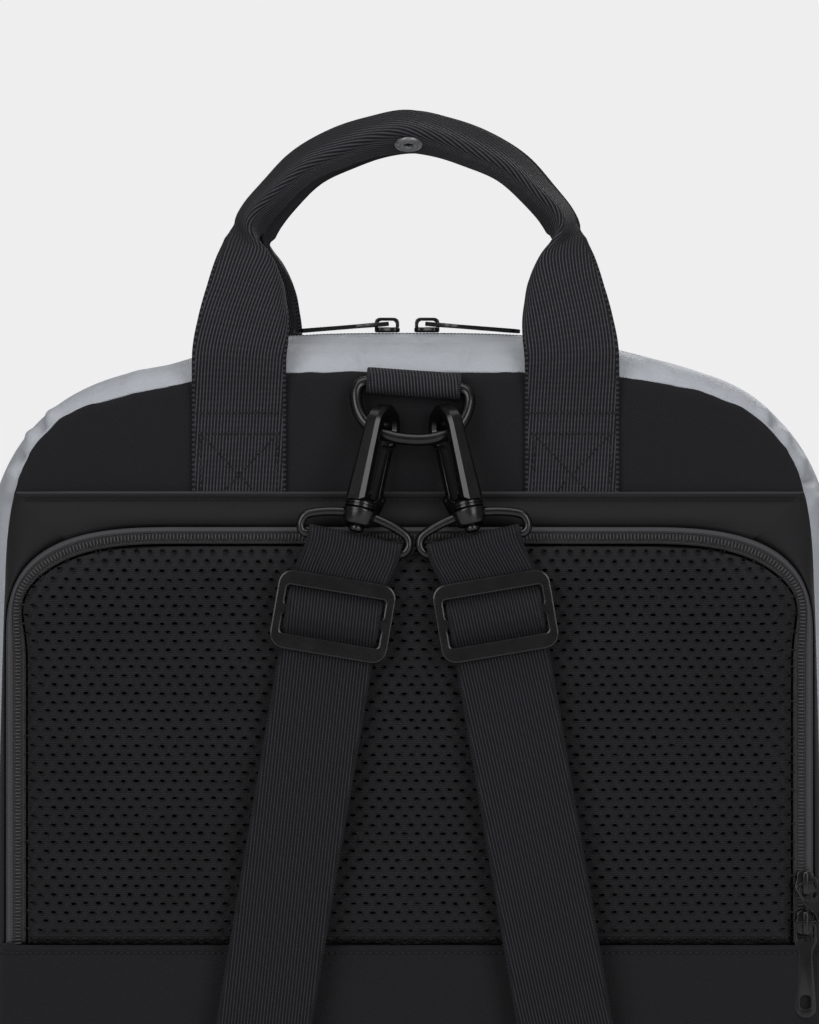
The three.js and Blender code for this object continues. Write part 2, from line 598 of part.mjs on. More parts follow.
// One strap with its slider, eye and hook; side is -1 on the left and +1 on the right
function addStrap(side) {
  const label = side < 0 ? "left" : "right";
  const frame = addFrame(bag, STRAP.centreX + side * STRAP.x, SEAM_Y, STRAP.z);
  frame.rotation.y = -side * degToRad(STRAP.tilt);
  addPiece(`${label}_strap_slider`, strapSlider(), "black_metal", frame);
  addPiece(`${label}_shoulder_strap`, strapWebbing(side), "webbing", frame);

  const hub = addFrame(frame, -side * EYE.skew, -EYE.out, EYE.barZ + EYE.barToHub);
  const eyeFrame = addFrame(hub, 0, 0, 0);
  eyeFrame.rotation.y = -side * degToRad(EYE.extraTilt);
  addPiece(`${label}_hook_eye`, hookEye(), "black_metal", eyeFrame);

  const hook = addFrame(hub, 0, 0, 0);
  hook.rotation.y = -side * degToRad(HOOK.tilt - STRAP.tilt);
  hook.rotation.x = -degToRad(HOOK.lean);
  hook.rotation.z = side < 0 ? degToRad(HOOK.turn) : Math.PI - degToRad(HOOK.turn);
  addPiece(`${label}_hook_body`, hookBody(), "black_metal", hook);
  const gate = addPiece(`${label}_hook_gate`, hookGate(), "black_metal", hook);
  gate.position.set(HOOK_GATE_U, 0, HOOK_GATE.pivotZ);
}

function strapSlider() {
  const { width, height, sideBar, endBar, midBar, thickness, corner } = SLIDER;
  const plate = roundedRectangle(width, height, corner);
  const windowHeight = (height - 2 * endBar - midBar) / 2;
  for (const up of [-1, 1]) {
    const window = roundedRectangle(width - 2 * sideBar, windowHeight, 1.2).getPoints(3);
    const shift = up * (midBar + windowHeight) * 0.5;
    plate.holes.push(new THREE.Path(window.map((p) => new THREE.Vector2(p.x, p.y + shift))));
  }
  return plateXZ(plate, thickness, 4).translate(0, -SLIDER_OUT, 0);
}

// Webbing: up the back, through the slider, round the eye's bar and back down behind
function strapWebbing(side) {
  const half = STRAP.thickness / 2;
  const behind = SLIDER_OUT - SLIDER.thickness / 2 - GAP - half;
  const before = SLIDER_OUT + SLIDER.thickness / 2 + GAP + half;
  const bend = EYE.wire / 2 + GAP + half;
  const line = STRAP_RUN.map(({ up, out }) => new THREE.Vector2(out, up));
  const windowMid = (SLIDER.height / 2 - SLIDER.endBar + SLIDER.midBar / 2) / 2;
  const overBar = SLIDER.midBar / 2 + 0.6;
  const underBar = SLIDER.height / 2 - SLIDER.endBar - 0.5;
  const threaded = [
    { out: behind - 0.2, up: -SLIDER.height / 2 - 4 },
    { out: behind, up: -underBar },
    { out: SLIDER_OUT, up: -windowMid },
    { out: before, up: -overBar },
    { out: before + 0.2, up: 0 },
    { out: before, up: overBar },
    { out: SLIDER_OUT, up: windowMid },
    { out: behind, up: underBar },
    { out: behind, up: SLIDER.height / 2 },
  ];
  for (const { out, up } of threaded) line.push(new THREE.Vector2(out, up));
  for (let i = 0; i <= 6; i++) {
    const turn = degToRad(lerp(-10, 190, i / 6));
    line.push(new THREE.Vector2(EYE.out + bend * Math.cos(turn), EYE.barZ + bend * Math.sin(turn)));
  }
  for (const up of [13, 2, -5]) line.push(new THREE.Vector2(behind - 2.5, up));

  const grid = (offset) =>
    line.map((point, i) => {
      const before = line[Math.max(0, i - 1)];
      const after = line[Math.min(line.length - 1, i + 1)];
      const along = after.clone().sub(before).normalize();
      const out = point.x + along.y * offset;
      const up = point.y - along.x * offset;
      const toEye = smoothstep(up, 12, EYE.barZ);
      const skew = -side * EYE.skew * toEye;
      return [-1, 1].map((edge) => {
        const across = (edge * WEBBING.width) / 2;
        const tipped = side * across * Math.tan(degToRad(EYE.extraTilt)) * toEye;
        return new THREE.Vector3(skew + across, -out, up + tipped);
      });
    });
  return wallBetween(grid(half), grid(-half));
}

// Swivel eye: a bent wire with a bored hub at its top
function hookEye() {
  const right = EYE_SHAPE.map(({ across, up }) => [across, up]);
  const left = [...right].reverse().map(([x, z]) => [-x, z]);
  const bar = [[10, -EYE.barToHub], [-10, -EYE.barToHub]];
  const line = [...right, ...bar, ...left].map(([x, z]) => new THREE.Vector3(x, 0, z));
  const wire = closedWire(line, EYE.wire, 32, 6);
  const hub = uprightCylinder(EYE_HUB.radius, EYE_HUB.low, EYE_HUB.high);
  const bore = uprightCylinder(EYE_HUB.boreRadius, EYE_HUB.low - 1, EYE_HUB.high + 1, 12);
  for (const part of [hub, bore]) part.rotateX(-degToRad(HOOK.lean));
  return cutAway(joined(wire, hub), bore);
}

function hookBody() {
  const { z, outerRadius, innerRadius } = HOOK_BEND;
  const bendU = (HOOK_SHANK_U + HOOK_GATE_U) / 2;
  const foot = HOOK_COLLAR.high - 1;
  const hook = new THREE.Shape();
  hook.moveTo(bendU - outerRadius, foot);
  hook.lineTo(bendU - outerRadius, z);
  hook.absarc(bendU, z, outerRadius, Math.PI, 0, true);
  hook.lineTo(bendU + outerRadius - 0.6, HOOK_NOSE_Z);
  hook.lineTo(bendU + innerRadius + 0.6, HOOK_NOSE_Z);
  hook.lineTo(bendU + innerRadius, z);
  hook.absarc(bendU, z, innerRadius, 0, Math.PI, false);
  hook.lineTo(bendU - innerRadius, foot);
  hook.closePath();
  const thickness = HOOK.halfThickness * 2;
  const bevelSize = 1.4;
  const bent = new THREE.ExtrudeGeometry(hook, {
    depth: thickness - 2 * bevelSize,
    curveSegments: 8,
    bevelThickness: bevelSize,
    bevelSize,
    bevelOffset: -bevelSize,
    bevelSegments: 1,
  });
  bent.translate(0, 0, bevelSize - thickness / 2).rotateX(Math.PI / 2);

  const ear = new THREE.Shape();
  const { pivotZ, half, pinRadius, thickness: gateThickness } = HOOK_GATE;
  ear.moveTo(2, HOOK_COLLAR.low);
  ear.lineTo(HOOK_GATE_U - 1, HOOK_COLLAR.low);
  ear.absarc(HOOK_GATE_U, pivotZ, half + 0.5, -0.5, Math.PI - 0.9, false);
  ear.lineTo(4, foot + 1);
  ear.closePath();
  const lug = plateXZ(ear, thickness - 0.4);
  const room = new THREE.BoxGeometry(2 * half + 6, gateThickness + 2 * GAP, 40);
  room.translate(HOOK_GATE_U + 0.3, 0, pivotZ - half - 0.4 + 20);
  const pin = new THREE.CylinderGeometry(pinRadius - 0.25, pinRadius - 0.25, thickness - 1, 8);
  pin.translate(HOOK_GATE_U, 0, pivotZ);

  const collar = uprightCylinder(HOOK_COLLAR.radius, HOOK_COLLAR.low, HOOK_COLLAR.high);
  const stem = uprightCylinder(HOOK_RIVET.stemRadius, HOOK_RIVET.low + 0.5, HOOK_COLLAR.low + 0.5, 12);
  const head = uprightCylinder(HOOK_RIVET.radius, HOOK_RIVET.low, HOOK_RIVET.high, 12);
  const fork = cutAway(joined(lug, collar), room);
  return joined(bent, fork, pin, stem, head);
}

// Sprung gate, hung on the hook's pin at its own origin
function hookGate() {
  const { length, half, pinRadius, thickness } = HOOK_GATE;
  const bar = new THREE.Shape();
  bar.absarc(0, 0, half, Math.PI, Math.PI * 2, false);
  bar.lineTo(half, length);
  bar.lineTo(-half, length - 0.8);
  bar.closePath();
  bar.holes.push(new THREE.Path().absarc(0, 0, pinRadius, 0, Math.PI * 2));
  return plateXZ(bar, thickness, 5);
}

// Zip slider: a plate on the tape with a bridge over it
function zipSlider() {
  const { length, width, low, high } = ZIP_SLIDER;
  const plate = new THREE.ExtrudeGeometry(roundedRectangle(length, width, 2.4), {
    depth: high - low,
    bevelEnabled: false,
    curveSegments: 3,
  }).translate(0, 0, low);
  const { innerHalf, outerHalf, innerTop, outerTop } = BRIDGE;
  const arch = new THREE.Shape();
  const foot = high - 0.6;
  arch.moveTo(-outerHalf, foot);
  arch.lineTo(-innerHalf, foot);
  arch.lineTo(-innerHalf, innerTop - 1);
  arch.quadraticCurveTo(-innerHalf, innerTop, -innerHalf + 1.2, innerTop);
  arch.lineTo(innerHalf - 1.2, innerTop);
  arch.quadraticCurveTo(innerHalf, innerTop, innerHalf, innerTop - 1);
  arch.lineTo(innerHalf, foot);
  arch.lineTo(outerHalf, foot);
  arch.lineTo(outerHalf, outerTop - 1.6);
  arch.quadraticCurveTo(outerHalf, outerTop, outerHalf - 2, outerTop);
  arch.lineTo(-outerHalf + 2, outerTop);
  arch.quadraticCurveTo(-outerHalf, outerTop, -outerHalf, outerTop - 1.6);
  return joined(plate, plateXZ(arch, BRIDGE.width, 3));
}

// Zip pull along +x from its cross bar, which is at its own origin under the bridge
function zipPull() {
  const { length, head, neck, tail, thickness, bar } = PULL;
  const outline = new THREE.Shape();
  outline.moveTo(-bar, -head);
  outline.lineTo(PULL_EYE.far + 1, -head);
  outline.lineTo(PULL_EYE.far + 5, -neck);
  outline.lineTo(length - tail, -tail);
  outline.absarc(length - tail, 0, tail, -Math.PI / 2, Math.PI / 2, false);
  outline.lineTo(PULL_EYE.far + 5, neck);
  outline.lineTo(PULL_EYE.far + 1, head);
  outline.lineTo(-bar, head);
  outline.closePath();
  const openings = [
    { near: bar, far: PULL_EYE.far, half: PULL_EYE.half },
    PULL_WINDOW,
  ];
  for (const { near, far, half } of openings) {
    const corners = [[near, -half], [far, -half], [far, half], [near, half]];
    outline.holes.push(new THREE.Path(corners.map(([x, y]) => new THREE.Vector2(x, y))));
  }
  const extent = { depth: thickness, bevelEnabled: false, curveSegments: 5 };
  const plate = new THREE.ExtrudeGeometry(outline, extent);
  return plate.translate(0, 0, -thickness / 2);
}

function addZipSlider({ name, end, x, z, lie, swing }) {
  const onTop = name === "main_zip";
  const tapeTop = bodySection(MAIN_ZIP.depth).top;
  const frame = onTop
    ? addFrame(bag, x, SEAM_Y + MAIN_ZIP.depth, tapeTop)
    : addFrame(bag, BACK_ZIP_PULL.x, SEAM_Y - BACK_ZIP_PULL.out, z);
  const alongTape = onTop ? new THREE.Vector3(Math.sign(x), 0, 0) : new THREE.Vector3(0, 0, -1);
  const offTape = onTop ? new THREE.Vector3(0, 0, 1) : new THREE.Vector3(0, -1, 0);
  const acrossTape = new THREE.Vector3().crossVectors(offTape, alongTape);
  frame.setRotationFromMatrix(new THREE.Matrix4().makeBasis(alongTape, acrossTape, offTape));
  addPiece(`${name}_slider_${end}`, zipSlider(), "black_metal", frame);
  const pull = addPiece(`${name}_pull_${end}`, zipPull(), "black_metal", frame);
  pull.position.z = PULL.pivot;
  pull.rotation.order = "ZYX";
  pull.rotation.z = degToRad(swing);
  pull.rotation.y = degToRad(lie);
}

addPiece("body_shell", bodyShell(), "grey_cloth");
const tapeHalf = MAIN_ZIP.slotHalf - GAP;
const tapeBelow = MAIN_ZIP.sunk + MAIN_ZIP.thickness;
addPiece("main_zip_tape", mainZipStrip(TAPE_SECTION, tapeHalf, -MAIN_ZIP.sunk, tapeBelow, 0), "zip_tape");
addPiece("back_yoke", backYoke(), "twill");
addPiece("zip_surround", zipSurround(), "smooth_cloth");
addPiece("back_zip_tape", backZipTape(), "zip_tape");
addPiece("mesh_pad", meshPad(), "air_mesh");
addPiece("lower_panel", lowerPanel(), "twill");
addPiece("back_handle", handle(NEAR_HANDLE), "webbing");
addPiece("front_handle", handle(FAR_HANDLE), "webbing");
addHandleSnap();
addDRing();
for (const side of [-1, 1]) addStrap(side);
for (const row of ZIP_PULLS) addZipSlider(row);

export default bag;
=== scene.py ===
import math

import bmesh
import bpy
import numpy as np
from mathutils import Matrix, Vector, noise


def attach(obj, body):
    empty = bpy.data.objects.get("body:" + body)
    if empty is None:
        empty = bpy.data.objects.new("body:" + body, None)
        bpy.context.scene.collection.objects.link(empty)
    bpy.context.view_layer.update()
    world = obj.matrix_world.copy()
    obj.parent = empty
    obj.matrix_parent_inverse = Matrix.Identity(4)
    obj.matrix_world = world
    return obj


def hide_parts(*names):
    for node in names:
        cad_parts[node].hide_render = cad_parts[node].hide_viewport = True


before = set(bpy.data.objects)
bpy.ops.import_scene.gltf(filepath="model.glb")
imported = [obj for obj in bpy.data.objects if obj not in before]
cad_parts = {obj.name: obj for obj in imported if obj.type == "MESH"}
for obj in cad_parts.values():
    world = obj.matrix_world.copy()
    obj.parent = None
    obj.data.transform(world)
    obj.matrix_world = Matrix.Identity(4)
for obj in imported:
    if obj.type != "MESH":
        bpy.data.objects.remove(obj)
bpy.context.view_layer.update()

# Studio
# The bag stands on a wide pale floor. The camera looks level at its upper back from 2.6 m,
# and large soft lights stand above it, behind it and to both sides.
MM = 0.001
VIEW_HEIGHT = 1024
PIXEL = 0.4 * MM
CAMERA_AWAY = 2.6
PANEL_Y = -0.088
VIEW_X, VIEW_Z = 0.0, 0.379
LONG_SENSOR = 36.0

lens = bpy.data.cameras.new("camera")
lens.sensor_width = LONG_SENSOR
lens.lens = LONG_SENSOR * CAMERA_AWAY / (VIEW_HEIGHT * PIXEL)
camera = bpy.data.objects.new("camera", lens)
camera.location = (VIEW_X, PANEL_Y - CAMERA_AWAY, VIEW_Z)
camera.rotation_euler = (math.radians(90), 0, 0)
bpy.context.scene.collection.objects.link(camera)
bpy.context.scene.camera = camera
bpy.context.scene.view_settings.view_transform = "Standard"

PALE = (0.86, 0.855, 0.865)
AMBIENT = 0.17
world = bpy.data.worlds.new("studio")
bpy.context.scene.world = world
world.use_nodes = True
world_tree = world.node_tree
ambient_light = world_tree.nodes["Background"]
seen_light = world_tree.nodes.new("ShaderNodeBackground")
for light in (ambient_light, seen_light):
    light.inputs["Color"].default_value = (*PALE, 1)
ambient_light.inputs["Strength"].default_value = AMBIENT
light_path = world_tree.nodes.new("ShaderNodeLightPath")
choose_light = world_tree.nodes.new("ShaderNodeMixShader")
for source, socket in (
    (light_path.outputs["Is Camera Ray"], choose_light.inputs[0]),
    (ambient_light.outputs[0], choose_light.inputs[1]),
    (seen_light.outputs[0], choose_light.inputs[2]),
    (choose_light.outputs[0], world_tree.nodes["World Output"].inputs[0]),
):
    world_tree.links.new(source, socket)


def soft_light(name, place, target, size, power):
    lamp = bpy.data.lights.new(name, "AREA")
    lamp.shape = "RECTANGLE"
    lamp.size, lamp.size_y = size
    lamp.energy = power
    stand = bpy.data.objects.new(name, lamp)
    stand.location = place
    way = Vector(target) - Vector(place)
    stand.rotation_euler = way.to_track_quat("-Z", "Y").to_euler()
    bpy.context.scene.collection.objects.link(stand)


UPPER_BACK = (0, -0.08, 0.36)
soft_light("overhead", (0, -0.5, 1.9), (0, -0.05, 0.4), (1.8, 1.4), 12)
soft_light("left_front", (-1.15, -1.85, 1.05), UPPER_BACK, (1.2, 1.6), 18.5)
soft_light("right_front", (1.2, -1.9, 0.9), UPPER_BACK, (1.0, 1.5), 15.5)
soft_light("behind", (0.6, 1.8, 1.4), (0, 0.05, 0.3), (1.6, 1.2), 16)


class Pattern:
    """A node socket that works in Python expressions."""

    def __init__(self, socket):
        self.socket = socket
        self.tree = socket.id_data

    def put(self, kind, settings, sockets, output=0):
        node = self.tree.nodes.new(kind)
        for key, value in settings.items():
            setattr(node, key, value)
        for key, value in sockets.items():
            if isinstance(value, Pattern):
                self.tree.links.new(value.socket, node.inputs[key])
            else:
                node.inputs[key].default_value = value
        return Pattern(node.outputs[output])

    def other(self, output):
        return Pattern(self.socket.node.outputs[output])

    def maths(self, operation, *values):
        return self.put("ShaderNodeMath", {"operation": operation}, dict(enumerate(values)))

    def __add__(self, other):
        return self.maths("ADD", self, other)

    def __sub__(self, other):
        return self.maths("SUBTRACT", self, other)

    def __rsub__(self, other):
        return self.maths("SUBTRACT", other, self)

    def __mul__(self, other):
        return self.maths("MULTIPLY", self, other)

    def __truediv__(self, other):
        return self.maths("DIVIDE", self, other)

    def __pow__(self, other):
        return self.maths("POWER", self, other)

    def __lt__(self, other):
        return self.maths("LESS_THAN", self, other)

    def __gt__(self, other):
        return self.maths("GREATER_THAN", self, other)

    def __abs__(self):
        return self.maths("ABSOLUTE", self)

    __radd__ = __add__
    __rmul__ = __mul__

    def wave(self):
        return self.maths("SINE", self * (2 * math.pi)) * 0.5 + 0.5

    def ease(self, low, high):
        settings = {"interpolation_type": "SMOOTHSTEP"}
        return self.put("ShaderNodeMapRange", settings, {0: self, 1: low, 2: high})

    def tint(self, low, high):
        ends = {6: (*low, 1), 7: (*high, 1)}
        return self.put("ShaderNodeMix", {"data_type": "RGBA"}, {0: self, **ends}, output=2)

    def feed(self, socket):
        self.tree.links.new(self.socket, socket)


class Finish:
    """One procedural material: its shader, and the coordinates its patterns read."""

    def __init__(self, name, colour, roughness, metallic=0.0, sheen=0.0, specular=0.5):
        self.material = bpy.data.materials.new(name)
        self.material.use_nodes = True
        tree = self.material.node_tree
        self.sockets = tree.nodes["Principled BSDF"].inputs
        self.sockets["Base Color"].default_value = (*colour, 1)
        self.sockets["Roughness"].default_value = roughness
        self.sockets["Metallic"].default_value = metallic
        self.sockets["Specular IOR Level"].default_value = specular
        self.sockets["Sheen Weight"].default_value = sheen
        self.sockets["Sheen Roughness"].default_value = 0.4
        place = tree.nodes.new("ShaderNodeTexCoord")
        self.object_place = Pattern(place.outputs["Object"])
        self.cloth_place = Pattern(place.outputs["UV"])

    def along(self, place, axis):
        return place.put("ShaderNodeSeparateXYZ", {}, {0: place}, output=axis)

    def cloud(self, scale, detail=3.0):
        place = self.object_place
        sockets = {"Vector": place, "Scale": scale, "Detail": detail, "Roughness": 0.55}
        return place.put("ShaderNodeTexNoise", {}, sockets)

    def colour(self, pattern, low, high):
        pattern.tint(low, high).feed(self.sockets["Base Color"])

    def rough(self, pattern):
        pattern.feed(self.sockets["Roughness"])

    def relief(self, height, depth):
        sockets = {"Height": height, "Distance": depth, "Strength": 1.0}
        bump = height.put("ShaderNodeBump", {}, sockets)
        bump.feed(self.sockets["Normal"])


floor_finish = Finish("pale_floor", PALE, 0.7)
floor_grain = floor_finish.cloud(40.0)
floor_finish.colour(floor_grain, (0.84, 0.835, 0.845), (0.88, 0.875, 0.885))
FLOOR_HALF = 14.0
floor_mesh = bpy.data.meshes.new("floor")
floor_signs = [(-1, -1), (1, -1), (1, 1), (-1, 1)]
floor_corners = [(x * FLOOR_HALF, y * FLOOR_HALF, 0) for x, y in floor_signs]
floor_mesh.from_pydata(floor_corners, [], [(0, 1, 2, 3)])
floor_mesh.materials.append(floor_finish.material)
floor = bpy.data.objects.new("floor", floor_mesh)
bpy.context.scene.collection.objects.link(floor)

# Grey body
# Top, sides, base and front in one reflective grey cloth over a light foam, sewn to the black
# back along the seam. The cloth is a little loose, so it puckers beside the seam and at the corners.
SEAM_Y = -70.0
BODY_ROWS = np.array([
    # depth, half width, top, top corner, its power, bottom
    (0, 163, 435.2, 120, 4.4, 4),
    (4, 166, 441.5, 119, 4, 1.5),
    (10, 169, 446.5, 118, 3.5, 0),
    (18, 171.5, 449.8, 116, 3.1, 0),
    (30, 173, 451.3, 115, 2.9, 0),
    (60, 174, 451.8, 115, 2.8, 0),
    (95, 173, 450.5, 115, 2.8, 0),
    (118, 170, 446, 114, 2.8, 0),
    (132, 165, 440, 112, 2.9, 1.5),
    (142, 157, 431, 108, 3, 7),
    (148, 146, 419, 100, 3, 17),
])
BODY_DEPTH, BODY_MIDDLE = 148.0, (0, 5, 220)
BASE_CORNER = 28.0
FLARE_SHARE, FLARE_TOP = 0.02, 350.0
DOME_RISE = 6.0
CROWN_SAG_X, CROWN_SAG_WIDE, CROWN_SAG_DEEP = 100.0, 29.0, (5.0, 2.2)
SEAM_SAG_X, SEAM_SAG_WIDE, SEAM_SAG_DEEP = 107.0, 26.0, (2.9, 0.8)
SAG_DEPTHS = (2, 20)
FINE_ABOVE, PLAIN_COUNT, FINE_COUNT = 365.0, 130, 300
MAIN_ZIP_DEPTH, MAIN_ZIP_HALF, MAIN_ZIP_FOOT = 30.0, 6.0, 336.0
GROOVE_DEEP, LIP_HIGH, LIP_WIDE = 1.9, 0.7, 1.1


def step(value, low, high):
    share = np.clip((np.asarray(value, float) - low) / (high - low), 0, 1)
    return share * share * (3 - 2 * share)


def bump(value, at, wide, power=2):
    """A smooth rise about a value, 1 at its top."""
    return np.exp(-(((value - at) / wide) ** power))


def bow(turn, power):
    """Shares across and up along a quarter of a squared oval."""
    return np.cos(turn) ** (2 / power), np.sin(turn) ** (2 / power)


def rolled(distance, radius):
    """The round of a rolled edge: 0 at the edge, and 1 from its radius on."""
    return np.sqrt(1 - (1 - np.clip(distance / radius, 0, 1)) ** 2)


def flow(keys, values, at):
    """Smooth values through a table, without overshoot."""
    keys, values, at = (np.asarray(a, float) for a in (keys, values, at))
    gaps = np.diff(keys)
    rises = np.diff(values, axis=0) / gaps[:, None]
    joint = rises[:-1] * rises[1:]
    middle = np.where(joint > 0, 2 * joint / np.where(joint > 0, rises[:-1] + rises[1:], 1), 0)
    slopes = np.vstack([rises[:1], middle, rises[-1:]])
    i = np.clip(np.searchsorted(keys, at, side="right") - 1, 0, len(gaps) - 1)
    t = np.clip((at - keys[i]) / gaps[i], 0, 1)[:, None]
    h = gaps[i][:, None]
    start, end = values[i], values[i + 1]
    bend = (t - 1) * t * ((t - 1) * slopes[i] + t * slopes[i + 1]) * h
    return start + (end - start) * t * t * (3 - 2 * t) + bend


def distances(line, stretch=1.0):
    """How far along a line each of its points is."""
    steps = np.linalg.norm(np.diff(line, axis=0), axis=1) * stretch
    return np.concatenate([[0], np.cumsum(steps)])


def spread(line, count):
    """The same line as evenly spaced points."""
    line = np.asarray(line, float)
    far = distances(line)
    at = np.linspace(0, far[-1], count)
    return np.stack([np.interp(at, far, column) for column in line.T], axis=1)


def flared(x, z):
    inside = (z > 0) & (z < FLARE_TOP)
    return x * (1 + FLARE_SHARE * np.where(inside, np.sin(np.pi * z / FLARE_TOP), 0))


def top_sag(x, depth):
    """How far the loose top hangs between the handles and the shoulders, more on the left."""
    crown = np.where(x < 0, *CROWN_SAG_DEEP) * bump(np.abs(x), CROWN_SAG_X, CROWN_SAG_WIDE)
    seam = np.where(x < 0, *SEAM_SAG_DEEP) * bump(np.abs(x), SEAM_SAG_X, SEAM_SAG_WIDE, 4)
    return seam + (crown - seam) * step(depth, *SAG_DEPTHS)


def body_half_outline(row, depth, side_sign, inset):
    half, top, corner, power, bottom = row
    side, low, shoulder = half - inset, bottom + inset, top - corner
    turn = np.linspace(0, np.pi / 2, 90)
    base_x = side - BASE_CORNER * (1 - np.sin(turn))
    base_z = low + BASE_CORNER * (1 - np.cos(turn))
    up = np.linspace(low + BASE_CORNER, shoulder, 40)[1:-1]
    bow_x, bow_z = bow(turn[:-1], power)
    top_x = side * bow_x
    top_z = shoulder + (corner - inset) * bow_z - top_sag(side_sign * top_x, depth)
    x = np.concatenate([[0], base_x, np.full(len(up), side), top_x, [0]])
    z = np.concatenate([[low], base_z, up, top_z, [shoulder + corner - inset]])
    line = np.stack([flared(x, z), z], axis=1)
    upper = z > FINE_ABOVE
    return np.concatenate([spread(line[~upper], PLAIN_COUNT), spread(line[upper], FINE_COUNT)])


def body_ring(depth, inset=0.0, y=None, scale=1.0):
    row = flow(BODY_ROWS[:, 0], BODY_ROWS[:, 1:], [depth])[0]
    right = body_half_outline(row, depth, 1, inset)
    left = body_half_outline(row, depth, -1, inset)[-2:0:-1] * (-1, 1)
    ring = np.concatenate([right, left])
    middle = (row[1] + row[4]) / 2
    ring = np.stack([ring[:, 0] * scale, middle + (ring[:, 1] - middle) * scale], axis=1)
    y = SEAM_Y + (depth if y is None else y)
    return np.stack([ring[:, 0], np.full(len(ring), y), ring[:, 1]], axis=1)


def surface_ways(points, wrap=False):
    """Unit normals of a grid of points."""
    if wrap:
        across = np.roll(points, -1, axis=1) - np.roll(points, 1, axis=1)
    else:
        across = np.gradient(points, axis=1)
    ways = np.cross(np.gradient(points, axis=0), across)
    return ways / np.maximum(np.linalg.norm(ways, axis=2, keepdims=True), 1e-9)


def ripple(points, size, seed):
    """Smooth noise at each point, about -1 to 1."""
    shift = Vector((seed * 17.3, seed * 5.1, seed * 9.7))
    flat = points.reshape(-1, 3) / size
    values = [noise.noise(Vector(p) + shift) for p in flat]
    return np.array(values).reshape(points.shape[:-1])


def give(points, *waves):
    """Slackness of cloth, as waves with a size, a seed and a height."""
    return sum(ripple(points, size, seed) * height for size, seed, height in waves)


def cloth_uv(points, wrap=False):
    """Distances along the columns and rows of a grid, in metres, for weave patterns."""
    middle = points[len(points) // 2]
    if wrap:
        middle = np.concatenate([middle, middle[:1]])
    column = points[:, points.shape[1] // 2]
    u, v = np.meshgrid(distances(middle), distances(column))
    return np.stack([u, v], axis=2) * MM


def piece_from(name, points, faces, uvs, finish, body="bag"):
    """A mesh object from points in millimetres, faces, and one UV pair for each face corner."""
    mesh = bpy.data.meshes.new(name)
    mesh.from_pydata((np.asarray(points, float) * MM).tolist(), [], faces)
    if uvs is not None:
        layer = mesh.uv_layers.new(name="cloth")
        layer.data.foreach_set("uv", np.asarray(uvs, np.float32).ravel())
    work = bmesh.new()
    work.from_mesh(mesh)
    bmesh.ops.remove_doubles(work, verts=work.verts, dist=1e-6)
    bmesh.ops.recalc_face_normals(work, faces=work.faces)
    work.to_mesh(mesh)
    work.free()
    mesh.polygons.foreach_set("use_smooth", [True] * len(mesh.polygons))
    mesh.materials.append(finish.material)
    piece = bpy.data.objects.new(name, mesh)
    bpy.context.scene.collection.objects.link(piece)
    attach(piece, body)
    return piece


def grid_cells(rows, columns, wrap):
    """Rows and columns of the four corners of each cell of a grid."""
    spans = columns if wrap else columns - 1
    i, j = np.meshgrid(np.arange(rows - 1), np.arange(spans), indexing="ij")
    return [(i, j), (i, j + 1), (i + 1, j + 1), (i + 1, j)]


def grid_quads(rows, columns, wrap=False, first=0):
    quads = [i * columns + j % columns for i, j in grid_cells(rows, columns, wrap)]
    return (np.stack(quads, axis=2).reshape(-1, 4) + first).tolist()


def corner_uvs(uv, rows, columns, wrap=False):
    corners = [uv[i, j] for i, j in grid_cells(rows, columns, wrap)]
    return np.stack(corners, axis=2).reshape(-1, 2)


# Creases of the loose cloth: a point on the body, the crease's way, its length, width and height
BODY_CREASES = [
    ((-19.5, -66, 442), (-0.2, 0.6, 0.8), 9, 2.2, -1.1),
    ((22.5, -66, 442), (0.3, 0.6, 0.8), 9, 2.2, -1.1),
    ((54, -66, 442), (0.1, 0.5, 0.8), 14, 3, 1.3),
    ((50, -66, 442), (0.1, 0.5, 0.8), 14, 2.5, -0.9),
    ((-78, -66, 437), (0.3, 0.6, 0.6), 12, 3, -0.9),
    ((-112, -66, 431), (0.3, 0.7, 0.5), 10, 4, 0.7),
    ((104, -64, 432), (-0.5, 0.7, 0.5), 14, 4, 0.9),
    ((98, -65, 434), (-0.5, 0.7, 0.5), 12, 3, -0.7),
    ((-147, -65, 413), (-0.3, 0.7, 0.5), 9, 1.9, -2.8),
    ((-143, -65, 416), (-0.3, 0.7, 0.5), 9, 3.0, 1.6),
    ((-151, -65, 408), (-0.3, 0.7, 0.4), 9, 3.0, 1.8),
    ((-155, -65, 401), (-0.4, 0.8, 0.3), 10, 1.9, -2.8),
    ((-158, -65, 394), (-0.4, 0.8, 0.1), 10, 3.2, 1.7),
    ((-161, -65, 384), (-0.4, 0.8, 0.0), 11, 2.2, -2.0),
    ((146, -65, 413), (0.3, 0.7, 0.5), 9, 1.9, -2.4),
    ((142, -65, 417), (0.3, 0.7, 0.5), 9, 3.0, 1.4),
    ((150, -65, 408), (0.3, 0.7, 0.4), 9, 3.0, 1.6),
    ((159, -65, 391), (0.4, 0.8, 0.1), 11, 1.9, -2.8),
    ((156, -65, 398), (0.4, 0.8, 0.2), 10, 3.2, 1.8),
    ((161, -65, 383), (0.4, 0.8, 0.0), 11, 3.2, 1.5),
    ((-172, -40, 300), (0.0, 0.6, -0.8), 60, 10, 1.5),
    ((-173, 0, 240), (0.0, 0.9, 0.4), 70, 12, -1.4),
    ((-172, 10, 130), (0.0, 0.7, -0.7), 60, 11, 1.5),
    ((172, -30, 290), (0.0, 0.7, 0.7), 60, 10, 1.4),
    ((173, 10, 220), (0.0, 0.9, -0.4), 70, 12, -1.3),
    ((172, 0, 110), (0.0, 0.6, 0.8), 60, 11, 1.5),
    ((-40, 78, 120), (0.8, 0.0, 0.5), 90, 14, -2.5),
    ((70, 80, 210), (0.7, 0.0, -0.6), 80, 14, 2.3),
    ((-90, 79, 300), (0.6, 0.0, 0.8), 60, 12, 2.0),
]


